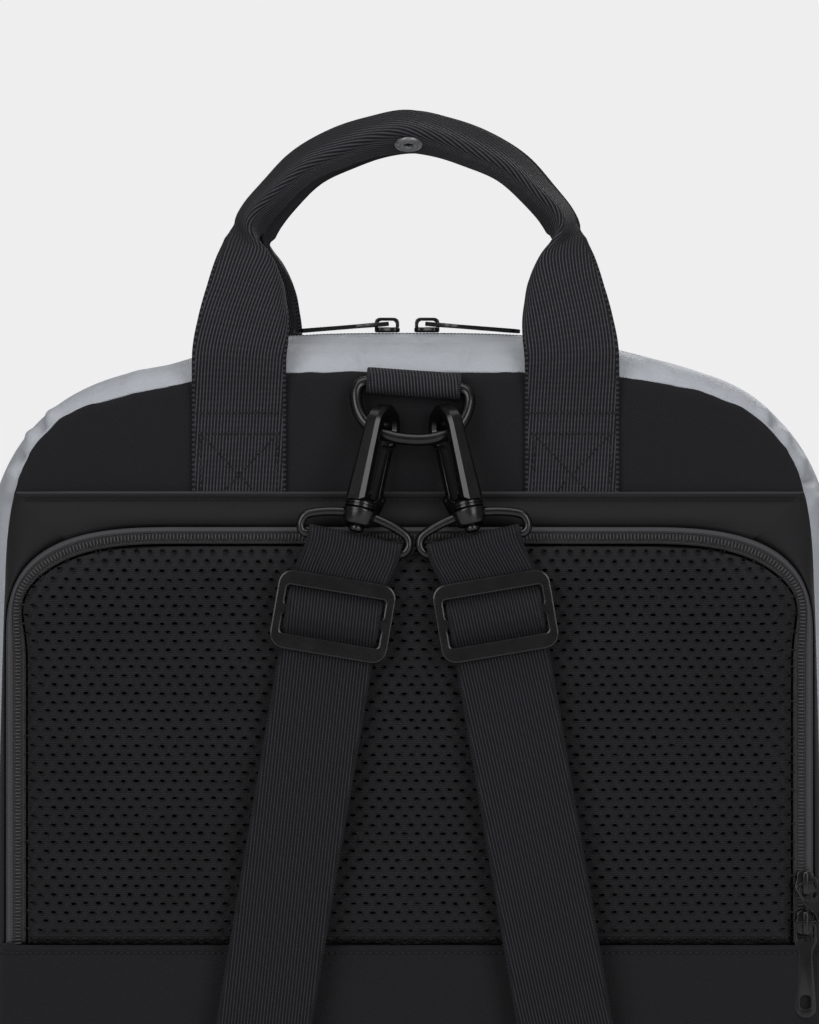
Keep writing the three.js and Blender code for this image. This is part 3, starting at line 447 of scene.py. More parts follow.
def creased(points, creases):
    """Rise of the cloth at its creases, each one laid through the nearest point of the cloth."""
    total = np.zeros(points.shape[:-1])
    spots = points.reshape(-1, 3)
    for place, way, length, width, height in creases:
        way = np.array(way) / np.linalg.norm(way)
        away = points - spots[np.argmin(((spots - place) ** 2).sum(axis=1))]
        along = away @ way
        across = np.linalg.norm(away - along[..., None] * way, axis=-1)
        total += height * np.exp(-((along / length) ** 2) - (across / width) ** 2)
    return total


grey_cloth = Finish("grey_cloth", (0.36, 0.38, 0.41), 0.55, metallic=0.1, specular=0.35)
bead_grain = grey_cloth.cloud(2600.0, detail=2.0)
cloth_drift = grey_cloth.cloud(14.0, detail=4.0)
grey_mottle = bead_grain * 0.55 + cloth_drift * 0.45
grey_cloth.colour(grey_mottle, (0.3, 0.318, 0.348), (0.5, 0.521, 0.558))
grey_cloth.rough(0.4 + cloth_drift * 0.22)
grey_cloth.relief(bead_grain + grey_cloth.cloud(160.0, detail=5.0) * 4.0, 0.00025)

edge_shares = np.array([0.9, 0.98, 1.06, 1.2, 1.35])
zip_edges = MAIN_ZIP_DEPTH + MAIN_ZIP_HALF * np.concatenate([-edge_shares, edge_shares])
body_depths = np.unique(np.concatenate([
    [0, 0.6, 1.4], np.arange(2.5, 22, 2), zip_edges, [27, 30, 33],
    np.arange(41, 118, 4.5), np.arange(118, BODY_DEPTH + 0.1, 2),
]))
body_rings = [body_ring(2.0, inset=9.0), body_ring(0.8, inset=1.5)]
body_rings += [body_ring(depth) for depth in body_depths]
dome_scales = np.linspace(0.97, 0.0, 34) ** 1.1
body_rings += [body_ring(BODY_DEPTH, y=BODY_DEPTH + DOME_RISE * (1 - s * s), scale=s) for s in dome_scales]
body_points = np.array(body_rings)
body_ways = surface_ways(body_points, wrap=True)
body_ways *= np.sign((body_ways * (body_points - BODY_MIDDLE)).sum(axis=2))[..., None]
body_depth = body_points[..., 1] - SEAM_Y
on_zip = step(body_points[..., 2], MAIN_ZIP_FOOT - 3, MAIN_ZIP_FOOT + 3) * (body_depth < 60)
zip_off = np.abs(body_depth - MAIN_ZIP_DEPTH)
groove = -GROOVE_DEEP * (1 - step(zip_off, MAIN_ZIP_HALF * 0.94, MAIN_ZIP_HALF * 1.04))
groove = groove + LIP_HIGH * bump(zip_off, MAIN_ZIP_HALF * 1.2, LIP_WIDE)
free = step(body_depth, 3, 14) * step(body_points[..., 2], 2, 26) * (1 - on_zip * (zip_off < 12))
soft = give(body_points, (95.0, 1, 2.6), (38.0, 2, 0.8))
seam_pull = give(body_points * (1, 0.25, 1), (17.0, 3, 0.9)) * bump(body_depth, 5, 7.0)
creases = creased(body_points, BODY_CREASES) * step(body_depth, 0, 3)
rise = soft * free + seam_pull + groove * on_zip + creases
body_points = body_points + body_ways * rise[..., None]
body_points[..., 2] = np.maximum(body_points[..., 2], 0.0)
rows, columns = body_points.shape[:2]
body_uv = cloth_uv(body_points, wrap=True)
body = piece_from(
    "grey_body", body_points.reshape(-1, 3), grid_quads(rows, columns, wrap=True),
    corner_uvs(body_uv, rows, columns, wrap=True), grey_cloth,
)
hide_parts("body_shell")

# Yoke
# Black twill across the top of the back, sewn to the grey body along the seam. Its foot goes
# behind the folded flap of the panel below.
GAP = 0.3
YOKE_OUT, YOKE_ROLL, YOKE_FOOT, YOKE_END_FOOT, YOKE_FOOT_HALF = 1.7, 3.5, 379.0, 383.5, 135.0
SEAM_HALF, SEAM_TOP, SEAM_CORNER, SEAM_POWER, SEAM_BOTTOM = BODY_ROWS[0, 1:]


def twill_relief(finish, pitch, slant, thread):
    """Diagonal ribs of a twill, broken up by its threads."""
    u = finish.along(finish.cloth_place, 0)
    v = finish.along(finish.cloth_place, 1)
    ribs = ((u + v * slant) / pitch).wave()
    threads = (u / thread).wave() * (v / thread).wave()
    return ribs * 0.7 + threads * 0.3


def slab(name, front, back, finish, uv=None):
    """A closed piece between two grids of points."""
    rows, columns = front.shape[:2]
    count = rows * columns
    uv = cloth_uv(front) if uv is None else uv
    flat_uv = uv.reshape(-1, 2)
    faces = grid_quads(rows, columns)
    faces += [quad[::-1] for quad in grid_quads(rows, columns, first=count)]
    border = [*range(columns), *range(2 * columns - 1, count, columns)]
    border += [*range(count - 2, count - columns - 1, -1), *range(count - 2 * columns, 0, -columns)]
    faces += [[a, a + count, b + count, b] for a, b in zip(border, border[1:] + border[:1])]
    corners = [flat_uv[i % count] for face in faces for i in face]
    points = np.concatenate([front.reshape(-1, 3), back.reshape(-1, 3)])
    return piece_from(name, points, faces, corners, finish)


def back_half(z):
    """Half the width of the back at a height."""
    z = np.asarray(z, float)
    up = np.clip((z - (SEAM_TOP - SEAM_CORNER)) / SEAM_CORNER, 0, 1)
    half = SEAM_HALF * (1 - up**SEAM_POWER) ** (1 / SEAM_POWER)
    down = np.clip((SEAM_BOTTOM + BASE_CORNER - z) / BASE_CORNER, 0, 1)
    return flared(half - BASE_CORNER * (1 - np.sqrt(1 - down**2)), z)


def back_points(x, z, out):
    x, z, out = np.broadcast_arrays(x, z, out)
    return np.stack([x, SEAM_Y - out, z], axis=-1)


def unit(ways):
    return ways / np.linalg.norm(ways, axis=-1, keepdims=True)


def nearest(points, line):
    """Distance of each point of a grid from a line, both in x and z."""
    flat = points.reshape(-1, 1, 2) - line.reshape(1, -1, 2)
    return np.sqrt((flat**2).sum(axis=2).min(axis=1)).reshape(points.shape[:-1])


twill = Finish("black_twill", (0.012, 0.012, 0.0135), 0.82, sheen=0.03, specular=0.22)
twill_ribs = twill_relief(twill, 0.0011, 0.8, 0.00055)
twill_drift = twill.cloud(30.0)
twill_mottle = twill_ribs * 0.75 + twill_drift * 0.25
twill.colour(twill_mottle, (0.0015, 0.0014, 0.0019), (0.0195, 0.0188, 0.022))
twill.rough(0.72 + twill_drift * 0.2)
twill.relief(twill_ribs, 0.00022)

seam_end = math.asin(((YOKE_END_FOOT + 1 - (SEAM_TOP - SEAM_CORNER)) / SEAM_CORNER) ** (SEAM_POWER / 2))
seam_turn = np.linspace(seam_end, math.pi - seam_end, 900)
seam_x = -SEAM_HALF * np.sign(np.cos(seam_turn)) * np.abs(np.cos(seam_turn)) ** (2 / SEAM_POWER)
seam_z = SEAM_TOP - SEAM_CORNER + SEAM_CORNER * np.sin(seam_turn) ** (2 / SEAM_POWER)
seam_line = spread(np.stack([seam_x, seam_z - top_sag(seam_x, 0)], axis=1), 420)
seam_flat = back_points(seam_line[:, 0], seam_line[:, 1], SEAM_Y)
seam_pucker = give(seam_flat, (9.0, 15, 0.5), (4.5, 16, 0.4))
seam_line = seam_line + unit(seam_line - (0, 330)) * seam_pucker[:, None]
yoke_down = np.concatenate([np.linspace(0, 0.12, 6), np.linspace(0.16, 1, 22)])[:, None]
yoke_end = step(np.abs(seam_line[:, 0]), YOKE_FOOT_HALF, SEAM_HALF - 6)
yoke_foot = YOKE_FOOT + (YOKE_END_FOOT - YOKE_FOOT) * yoke_end
yoke_z = seam_line[:, 1] + (yoke_foot - seam_line[:, 1]) * yoke_down
yoke_x = np.broadcast_to(seam_line[:, 0], yoke_z.shape)
yoke_xz = np.stack([yoke_x, yoke_z], axis=2)
yoke_edge = nearest(yoke_xz, seam_line)
yoke_flat = back_points(yoke_x, yoke_z, YOKE_OUT)
yoke_out = YOKE_OUT * rolled(yoke_edge, YOKE_ROLL)
yoke_out = yoke_out + give(yoke_flat, (34.0, 4, 0.5)) * step(yoke_edge, 2, 16)
yoke_front = back_points(yoke_x, yoke_z, np.maximum(yoke_out, 0.05))
yoke_back = back_points(yoke_x, yoke_z, -1.0)
yoke = slab("yoke", yoke_front, yoke_back, twill, yoke_xz * MM)
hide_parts("back_yoke")

# Panel round the back zip
# Smooth black cloth between the side seams and the zip. Its top edge is folded back on itself
# and stitched down, and the cloth swells forward from there to the zip.
LOWER_EDGE = 205.2
U_CENTRE_X, U_CENTRE_Z = 90.0, 325.0
# The last of these is how far down from the fold's top the painted highlight along the folded edge reaches.
FLAP_TOP, FOLD_DEEP, FOLD_HIGHLIGHT_WIDTH = 387.2, 4.6, 0.7
ZIP_LINE = (162.0, 373.0, 3.0)
ZIP_INNER_LINE = (153.8, 366.2, 3.0)
PAD_LINE = (153.0, 365.4, 3.0)
SWELL_Z, SWELL_TALL, SWELL_DEEP = 345.0, 13.0, 3.4
U_COUNT, U_DENSE = 640, 400


def corner_swell(z):
    """How far the pad swells over the zip at its upper corners."""
    return SWELL_DEEP * bump(z, SWELL_Z, SWELL_TALL)


def inverted_u(line, low=LOWER_EDGE + 0.8, swell=False):
    """The right half of a line round the pad, from its foot to its top."""
    half, top, power = line
    turn = np.linspace(0, np.pi / 2, U_DENSE)
    bow_x, bow_z = bow(turn, power)
    x = U_CENTRE_X + (half - U_CENTRE_X) * bow_x
    z = U_CENTRE_Z + (top - U_CENTRE_Z) * bow_z
    x, z = np.concatenate([[half], x[:-1], [0]]), np.concatenate([[low], z[:-1], [top]])
    if swell:
        x, z = spread(np.stack([x, z], axis=1), U_DENSE).T
        x = x + corner_swell(z) * step(x, U_CENTRE_X, half - 6)
    return np.stack([x, z], axis=1)


def whole_u(right, count=U_COUNT):
    right = spread(right, count // 2 + 1)
    return np.concatenate([right, right[-2::-1] * (-1, 1)])


# Across the panel at its top: millimetres below the fold, and out from the seam
FLAP_PROFILE = np.array([
    (4.5, 2.0), (1.2, 2.1), (0.25, 2.7), (0.0, 3.8), (0.25, 5.0), (0.8, 5.6), (1.4, 5.75), (2.6, 5.15),
    (3.3, 4.55), (3.8, 4.9), (4.6, 6.1), (5.6, 7.0), (6.8, 7.9), (8.2, 8.6), (9.8, 9.0), (11.4, 8.9),
    (12.8, 8.3), (13.9, 7.5), (13.9, 6.5),
])
FLAP_DEEP, FOLD_ROW, STITCH_ROW = 13.9, 10, 8
FLAP_CORNER = (118, 157)
SIDE_PROFILE_KEYS = [0, 0.15, 0.45, 0.75, 1]
SIDE_PROFILE_OUT = [[1.2], [3.8], [6.9], [8.4], [8.0]]

smooth_cloth = Finish("smooth_black_cloth", (0.014, 0.014, 0.0155), 0.7, sheen=0.04, specular=0.3)
fine_weave = twill_relief(smooth_cloth, 0.0009, -1.0, 0.00045)
smooth_drift = smooth_cloth.cloud(24.0)
smooth_mottle = fine_weave * 0.5 + smooth_drift * 0.5
smooth_tone = smooth_mottle.tint((0.0024, 0.0023, 0.003), (0.0092, 0.0089, 0.0106))
# A thin strip along the top of the fold is painted lighter: a painted highlight where the folded edge catches
# the light.
fold_highlight = smooth_cloth.along(smooth_cloth.cloth_place, 1) > (FLAP_TOP - FOLD_HIGHLIGHT_WIDTH) * MM
highlight_ends = {0: fold_highlight, 6: smooth_tone, 7: (0.034, 0.033, 0.037, 1)}
highlighted_tone = smooth_tone.put("ShaderNodeMix", {"data_type": "RGBA"}, highlight_ends, output=2)
highlighted_tone.feed(smooth_cloth.sockets["Base Color"])
smooth_cloth.rough(0.6 + smooth_drift * 0.2)
smooth_cloth.relief(fine_weave, 0.00012)


def facing_edge(x, z):
    """The point of the panel's outer edge that lies straight out from a point of the zip."""
    if z <= U_CENTRE_Z:
        return float(back_half(z)), z
    if x <= U_CENTRE_X:
        return x, FLAP_TOP
    low, high = 1.0, 8.0
    for _ in range(36):
        share = (low + high) / 2
        edge_x = U_CENTRE_X + (x - U_CENTRE_X) * share
        edge_z = U_CENTRE_Z + (z - U_CENTRE_Z) * share
        inside = edge_z < FLAP_TOP and edge_x < back_half(edge_z)
        low, high = (share, high) if inside else (low, share)
    return edge_x, edge_z


zip_outer = whole_u(inverted_u((ZIP_LINE[0] + GAP, ZIP_LINE[1] + GAP, ZIP_LINE[2])))
flap_edge = np.array([facing_edge(abs(x), z) for x, z in zip_outer])
flap_edge[:, 0] *= np.where(zip_outer[:, 0] < 0, -1, 1)
on_top = flap_edge[:, 1] > FLAP_TOP - 0.01
to_corner = step(np.abs(flap_edge[:, 0]), *FLAP_CORNER)
drop = np.maximum(flap_edge[:, 1] - zip_outer[:, 1], FLAP_DEEP)
below = FLAP_PROFILE[:, :1]
past_fold = FOLD_DEEP + (below - FOLD_DEEP) * (drop - FOLD_DEEP) / (FLAP_DEEP - FOLD_DEEP)
flap_share = np.where(below < FOLD_DEEP, below, past_fold) / drop
rank = np.linspace(0, 1, len(FLAP_PROFILE))[:, None]
in_fold = np.arange(len(FLAP_PROFILE))[:, None] < FOLD_ROW
side_share = np.interp(rank, [0, rank[FOLD_ROW, 0], 1], [0, 0.24, 1])
side_out = flow(SIDE_PROFILE_KEYS, SIDE_PROFILE_OUT, side_share.ravel())
side_out[0], side_out[-1] = 0.4, 6.5
plain_out = side_out + (FLAP_PROFILE[:, 1:] - side_out) * on_top * (1 - to_corner)
fold_out = plain_out[FOLD_ROW] + FLAP_PROFILE[:, 1:] - FLAP_PROFILE[FOLD_ROW, 1]
flap_out = np.where(on_top & in_fold, fold_out, plain_out)
share = np.where(on_top, flap_share, side_share)
flap_xz = flap_edge + (zip_outer - flap_edge) * share[..., None]
flap_front = back_points(flap_xz[..., 0], flap_xz[..., 1], flap_out)
waviness = give(flap_front, (42.0, 6, 0.8)) * np.sin(np.pi * np.clip(rank * 1.2 - 0.2, 0, 1))
fold_wave = give(flap_front * (1, 0, 0), (55.0, 7, 0.35)) * on_top * (1 - to_corner)
flap_front[..., 1] -= waviness
flap_front[..., 2] += fold_wave
flap_back = flap_front.copy()
flap_back[..., 1] = np.minimum(flap_front[..., 1] + 1.3, SEAM_Y)
flap_uv = flap_front[..., [0, 2]] * MM
surround = slab("zip_panel", flap_front, flap_back, smooth_cloth, flap_uv)
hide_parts("zip_surround")

# Back zip
# Nylon coil zip sewn round the padded back as an inverted U: a smooth rolled tape on the
# outside, and the coil's teeth beside it.
ZIP_OUT_OUTER, ZIP_OUT_INNER = 9.4, 10.8
# Across the tape: share of the way in, and height over the tape
TAPE_PROFILE = np.array([
    (0.0, -1.6), (0.0, -0.5), (0.03, 0.1), (0.09, 0.5), (0.17, 0.65), (0.25, 0.5), (0.31, 0.1),
    (0.36, -0.25), (0.42, -0.3), (0.7, -0.3), (0.95, -0.3), (1.0, -0.5), (1.0, -1.8),
])
TOOTH_PITCH, TOOTH_LENGTH, TOOTH_HEIGHT = 1.4, 0.85, 1.3
TOOTH_SHARE, TOOTH_LIFT, TOOTH_WIDTH = 0.61, 0.15, 3.4


def tape_finish(name, roll):
    """Zip tape with fine ribs both ways, and a painted highlight along its rolled outer edge, as wide as
    roll.
    """
    finish = Finish(name, (0.02, 0.02, 0.022), 0.55, sheen=0.03, specular=0.4)
    along = finish.along(finish.cloth_place, 0)
    across = finish.along(finish.cloth_place, 1)
    ribs = (along / 0.0011).wave() * 0.5 + (across / 0.0008).wave() * 0.5
    # The strip nearer the outer edge than roll is painted lighter: a painted highlight on the rolled edge.
    tone = ribs * 0.25 + (across < roll) * 0.65
    finish.colour(tone, (0.003, 0.003, 0.0036), (0.044, 0.043, 0.048))
    finish.relief(ribs, 0.00012)
    return finish


# The back zip's tape gets a painted highlight 4.4 mm wide along its roll; the main zip's tape gets none.
zip_tape = tape_finish("back_zip_tape", 0.0044)
coil = Finish("nylon_coil", (0.04, 0.04, 0.042), 0.4)
coil_drift = coil.cloud(500.0)
coil.colour(coil_drift, (0.018, 0.018, 0.02), (0.052, 0.052, 0.056))
coil.relief(coil_drift, 0.00005)


def node_group(name, inputs):
    """A geometry node group with no nodes yet, its inputs' identifiers, and their sockets."""
    tree = bpy.data.node_groups.new(name, "GeometryNodeTree")
    keys = {}
    for title, kind in inputs.items():
        socket = tree.interface.new_socket(title, in_out="INPUT", socket_type="NodeSocket" + kind)
        keys[title] = socket.identifier
    tree.interface.new_socket("Result", in_out="OUTPUT", socket_type="NodeSocketGeometry")
    given = tree.nodes.new("NodeGroupInput")
    return tree, keys, {title: Pattern(given.outputs[title]) for title in inputs}


BEAD_SIZES = ("Pitch", "Length", "Width", "Height")
bead_kinds = {"Line": "Geometry", **dict.fromkeys(BEAD_SIZES, "Float"), "Finish": "Material"}
bead_tree, bead_keys, bead = node_group("beads_on_a_line", bead_kinds)
bead_node = bead["Line"].put
bead_curve = bead_node("GeometryNodeMeshToCurve", {}, {0: bead["Line"]})
bead_points = bead_node("GeometryNodeResampleCurve", {"mode": "LENGTH"}, {
    "Curve": bead_curve, "Length": bead["Pitch"]})
bead_way = bead_node("GeometryNodeInputTangent", {}, {})
bead_out = bead_node("GeometryNodeInputNamedAttribute", {"data_type": "FLOAT_VECTOR"}, {"Name": "out"})
bead_axes = {"primary_axis": "Z", "secondary_axis": "X"}
bead_turn = bead_node("FunctionNodeAxesToRotation", bead_axes, {0: bead_out, 1: bead_way})
bead_ball = bead_node("GeometryNodeMeshUVSphere", {}, {"Segments": 8, "Rings": 5, "Radius": 0.5})
bead_smooth = bead_node("GeometryNodeSetShadeSmooth", {}, {0: bead_ball})
bead_size = bead_node("ShaderNodeCombineXYZ", {}, {
    "X": bead["Length"], "Y": bead["Width"], "Z": bead["Height"]})
bead_row = bead_node("GeometryNodeInstanceOnPoints", {}, {
    "Points": bead_points, "Instance": bead_smooth, "Rotation": bead_turn, "Scale": bead_size})
bead_real = bead_node("GeometryNodeRealizeInstances", {}, {0: bead_row})
bead_finish = bead_node("GeometryNodeSetMaterial", {}, {"Geometry": bead_real, "Material": bead["Finish"]})
bead_finish.feed(bead_tree.nodes.new("NodeGroupOutput").inputs[0])


def grow(mesh, tree, keys, values):
    """An object that a node group makes from a mesh."""
    source = bpy.data.objects.new(mesh.name, mesh)
    bpy.context.scene.collection.objects.link(source)
    maker = source.modifiers.new(tree.name, "NODES")
    maker.node_group = tree
    for title, value in values.items():
        maker[keys[title]] = value
    return source


def plain_piece(name, source, body):
    """The evaluated result of a modified object as a plain mesh piece, in the object's place."""
    evaluated = source.evaluated_get(bpy.context.evaluated_depsgraph_get())
    mesh = bpy.data.meshes.new_from_object(evaluated)
    mesh.name = name
    bpy.data.objects.remove(source)
    piece = bpy.data.objects.new(name, mesh)
    bpy.context.scene.collection.objects.link(piece)
    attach(piece, body)
    return piece


def beads(name, lines, outs, sizes, finish, slot):
    """Rows of small rounded pieces along lines, each turned to its line and its surface."""
    points, edges, ways = [], [], []
    for line, out in zip(lines, outs):
        first = len(points)
        points += (np.asarray(line) * MM).tolist()
        ways += np.broadcast_to(out, np.shape(line)).tolist()
        edges += [(i, i + 1) for i in range(first, len(points) - 1)]
    mesh = bpy.data.meshes.new(name + "_line")
    mesh.from_pydata(points, edges, [])
    layer = mesh.attributes.new("out", "FLOAT_VECTOR", "POINT")
    layer.data.foreach_set("vector", np.array(ways, np.float32).ravel())
    values = {title: size * MM for title, size in zip(BEAD_SIZES, sizes)}
    values["Finish"] = finish.material
    return plain_piece(name, grow(mesh, bead_tree, bead_keys, values), "bag")


outer_u = whole_u(inverted_u(ZIP_LINE))
inner_u = whole_u(inverted_u(ZIP_INNER_LINE, swell=True))
tape_share = TAPE_PROFILE[:, :1]
tape_xz = outer_u + (inner_u - outer_u) * tape_share[..., None]
tape_out = ZIP_OUT_OUTER + (ZIP_OUT_INNER - ZIP_OUT_OUTER) * tape_share + TAPE_PROFILE[:, 1:]
tape_front = back_points(tape_xz[..., 0], tape_xz[..., 1], tape_out)
tape_front[..., 1] -= give(tape_front, (48.0, 8, 0.35))
tape_back = tape_front.copy()
tape_back[..., 1] = SEAM_Y - ZIP_OUT_OUTER + 2.2
back_tape = slab("back_zip_band", tape_front, tape_back, zip_tape)
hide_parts("back_zip_tape")
tooth_line = outer_u + (inner_u - outer_u) * TOOTH_SHARE
tooth_out = ZIP_OUT_OUTER + (ZIP_OUT_INNER - ZIP_OUT_OUTER) * TOOTH_SHARE + TOOTH_LIFT
tooth_points = back_points(tooth_line[:, 0], tooth_line[:, 1], tooth_out)
tooth_sizes = (TOOTH_PITCH, TOOTH_LENGTH, TOOTH_WIDTH, TOOTH_HEIGHT)
beads("back_zip_teeth", [tooth_points], [(0, -1, 0)], tooth_sizes, coil, "zip_tape")

# Padded back
# Black air mesh over foam, sewn in along its rim so that the edges roll back. The face has
# staggered lens-shaped holes over an open spacer.
PAD_LOW, PAD_EDGE, PAD_CROWN, PAD_ROLL, PAD_SIDE_DROP, PAD_BACK = 206.0, 9.0, 18.0, 11.25, 1.2, 7.0
HOLE_PITCH, HOLE_ROW, HOLE_HALF_WIDTH, HOLE_HALF_HEIGHT = 5.1, 3.5, 1.05, 0.6
HOLE_POWERS = (0.9, 1.25)
SKIN_DEEP, SKIN_MERGE = 1.7, 0.05


def pad_half(z):
    half, top, power = PAD_LINE
    up = np.clip((z - U_CENTRE_Z) / (top - U_CENTRE_Z), 0, 1)
    plain = U_CENTRE_X + (half - U_CENTRE_X) * (1 - up**power) ** (1 / power)
    return plain + corner_swell(z) * step(plain, U_CENTRE_X, half - 6)


pad_foot = np.stack([np.linspace(-PAD_LINE[0], PAD_LINE[0], 200), np.full(200, PAD_LOW)], axis=1)
pad_outline = np.concatenate([whole_u(inverted_u(PAD_LINE, PAD_LOW, swell=True), 500), pad_foot])


def pad_out(x, z):
    """The pad's face: a crown that rolls back to the rim, with a little slackness."""
    x, z = np.broadcast_arrays(x, z)
    to_edge = nearest(np.stack([x, z], axis=-1), pad_outline)
    crown = PAD_CROWN - PAD_SIDE_DROP * (x / PAD_LINE[0]) ** 2
    out = PAD_EDGE + (crown - PAD_EDGE) * rolled(to_edge, PAD_ROLL)
    flat = np.stack([x, np.zeros_like(x), z], axis=-1)
    slack = give(flat, (60.0, 9, 0.9), (21.0, 10, 0.3))
    return out + slack * step(to_edge, 3, 22), to_edge


air_mesh = Finish("air_mesh", (0.012, 0.0125, 0.0135), 0.8, sheen=0.04, specular=0.25)
knit_u = air_mesh.along(air_mesh.object_place, 0)
knit_v = air_mesh.along(air_mesh.object_place, 2)
knit = (knit_v / 0.00085).wave() * 0.65 + (knit_u / 0.0006 + knit_v / 0.0017).wave() * 0.35
mesh_drift = air_mesh.cloud(26.0)
mesh_mottle = knit * 0.65 + mesh_drift * 0.35
air_mesh.colour(mesh_mottle, (0.002, 0.0021, 0.0026), (0.0205, 0.0208, 0.0235))
air_mesh.relief(knit, 0.00022)

pad_rows = PAD_LOW + (PAD_LINE[1] - PAD_LOW) * 0.5 * (1 - np.cos(np.linspace(0, np.pi, 90)))
pad_columns = np.sin(np.linspace(-np.pi / 2, np.pi / 2, 150))
pad_z = np.broadcast_to(pad_rows[:, None], (len(pad_rows), len(pad_columns)))
pad_x = pad_columns[None, :] * pad_half(pad_rows)[:, None]
pad_face, pad_to_edge = pad_out(pad_x, pad_z)
pad_sunk = 0.25 - (SKIN_DEEP + 0.25) * step(pad_to_edge, 3.4, 6.4)
pad_front = back_points(pad_x, pad_z, pad_face + pad_sunk)
pad_rear = back_points(pad_x, pad_z, PAD_BACK)
pad = slab("padded_back", pad_front, pad_rear, air_mesh, pad_front[..., [0, 2]] * MM)
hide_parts("mesh_pad")

pad_guide_front = back_points(pad_x, pad_z, pad_face)
pad_guide = slab("pad_guide", pad_guide_front, pad_rear, air_mesh)

# One cell of the mesh round one hole, drawn flat, that fits its neighbours like bricks
cell_half = (HOLE_PITCH / 2, HOLE_ROW / 2)
cell_rim = [(1, 0), (1, 1), (0, 1), (-1, 1), (-1, 0), (-1, -1), (0, -1), (1, -1)]
hole_turn = np.arange(8) * math.pi / 4
hole_ways = np.stack([np.cos(hole_turn), np.sin(hole_turn)], axis=1)
hole_shape = np.sign(hole_ways) * np.abs(hole_ways) ** HOLE_POWERS
hole_rings = [(1.0, SKIN_DEEP), (1.0, 0.35), (1.28, 0.0), (1.9, -0.18)]
cell_points = [(x * HOLE_HALF_WIDTH * s, y * HOLE_HALF_HEIGHT * s, -deep)
               for s, deep in hole_rings for x, y in hole_shape]
cell_points += [(x * cell_half[0], y * cell_half[1], -0.05) for x, y in cell_rim]
cell_faces = [[r * 8 + i, r * 8 + (i + 1) % 8, (r + 1) * 8 + (i + 1) % 8, (r + 1) * 8 + i]
              for r in range(4) for i in range(8)]
cell_mesh = bpy.data.meshes.new("mesh_cell")
cell_mesh.from_pydata((np.array(cell_points) * MM).tolist(), [], [face[::-1] for face in cell_faces])
cell = bpy.data.objects.new("mesh_cell", cell_mesh)
bpy.context.scene.collection.objects.link(cell)

skin_kinds = {"Points": "Geometry", "Cell": "Object", "Form": "Object", "Finish": "Material"}
skin_tree, skin_keys, skin = node_group("perforated_skin", skin_kinds)
skin_node = skin["Points"].put
skin_cell = skin_node("GeometryNodeObjectInfo", {}, {"Object": skin["Cell"]}, "Geometry")
skin_form = skin_node("GeometryNodeObjectInfo", {}, {"Object": skin["Form"]}, "Geometry")
skin_cells = skin_node("GeometryNodeInstanceOnPoints", {}, {"Points": skin["Points"], "Instance": skin_cell})
skin_real = skin_node("GeometryNodeRealizeInstances", {}, {0: skin_cells})
skin_joined = skin_node("GeometryNodeMergeByDistance", {}, {
    "Geometry": skin_real, "Distance": SKIN_MERGE * MM})
skin_place = skin_node("GeometryNodeInputPosition", {}, {})
skin_noise = skin_node("ShaderNodeTexNoise", {}, {
    "Vector": skin_place, "Scale": 150.0, "Detail": 2.0}, "Color")
skin_drift = skin_node("ShaderNodeVectorMath", {"operation": "MULTIPLY_ADD"}, {
    0: skin_noise, 1: (0.0022, 0.0016, 0.0), 2: (-0.0011, -0.0008, 0.0)})
skin_wander = skin_node("ShaderNodeVectorMath", {"operation": "ADD"}, {0: skin_place, 1: skin_drift})
skin_x = skin_node("ShaderNodeSeparateXYZ", {}, {0: skin_wander})
skin_start = skin_node("ShaderNodeCombineXYZ", {}, {"X": skin_x, "Y": -0.3, "Z": skin_x.other("Y")})
skin_hit = skin_node("GeometryNodeRaycast", {}, {
    "Target Geometry": skin_form, "Source Position": skin_start,
    "Ray Direction": (0, 1, 0), "Ray Length": 1.0})
skin_lift = skin_node("ShaderNodeVectorMath", {"operation": "SCALE"}, {
    0: skin_hit.other("Hit Normal"), "Scale": skin_x.other("Z")})
skin_at = skin_node("ShaderNodeVectorMath", {"operation": "ADD"}, {
    0: skin_hit.other("Hit Position"), 1: skin_lift})
skin_keep = skin_node("GeometryNodeStoreNamedAttribute", {"data_type": "BOOLEAN"}, {
    "Geometry": skin_joined, "Name": "on_pad", "Value": skin_hit})
skin_laid = skin_node("GeometryNodeSetPosition", {}, {"Geometry": skin_keep, "Position": skin_at})
skin_on = skin_node("GeometryNodeInputNamedAttribute", {"data_type": "BOOLEAN"}, {"Name": "on_pad"})
skin_off = skin_node("FunctionNodeBooleanMath", {"operation": "NOT"}, {0: skin_on})
skin_cut = skin_node("GeometryNodeDeleteGeometry", {}, {"Geometry": skin_laid, "Selection": skin_off})
skin_smooth = skin_node("GeometryNodeSetShadeSmooth", {}, {0: skin_cut})
skin_finish = skin_node("GeometryNodeSetMaterial", {}, {"Geometry": skin_smooth, "Material": skin["Finish"]})
skin_finish.feed(skin_tree.nodes.new("NodeGroupOutput").inputs[0])

hole_places = []
for row, z in enumerate(np.arange(PAD_LOW + 2.5, PAD_LINE[1], HOLE_ROW)):
    shift = HOLE_PITCH / 2 * (row % 2)
    for x in np.arange(-155 + shift, 156, HOLE_PITCH):
        if abs(x) < pad_half(z) + HOLE_PITCH / 2:
            hole_places.append((x * MM, z * MM, 0))
skin_mesh = bpy.data.meshes.new("hole_places")
skin_mesh.from_pydata(hole_places, [], [])
skin_values = {"Cell": cell, "Form": pad_guide, "Finish": air_mesh.material}
plain_piece("mesh_face", grow(skin_mesh, skin_tree, skin_keys, skin_values), "bag")
for helper in (cell, pad_guide):
    bpy.data.objects.remove(helper)

# Lower back panel
# Black twill over the lower half of the back, swelling out to its top edge, which is folded
# over and stitched across. The ends of the zip and the pad go under it.
LOWER_ROWS = np.array([
    # height, out from the seam
    (4, 1.7), (8, 3), (16, 4.2), (32, 5.6), (80, 9.5), (140, 13.4), (185, 15.4), (LOWER_EDGE, 16),
])
LOWER_ROLL, LOWER_RIM, LOWER_WALL, LOWER_STITCH = 15.0, 1.2, 2.0, 202.2
# The round of the folded edge and the dip of its stitches: height, half width and rise
LOWER_BUMPS = [(204.2, 0.8, 0.35), (LOWER_STITCH, 0.5, -0.45)]

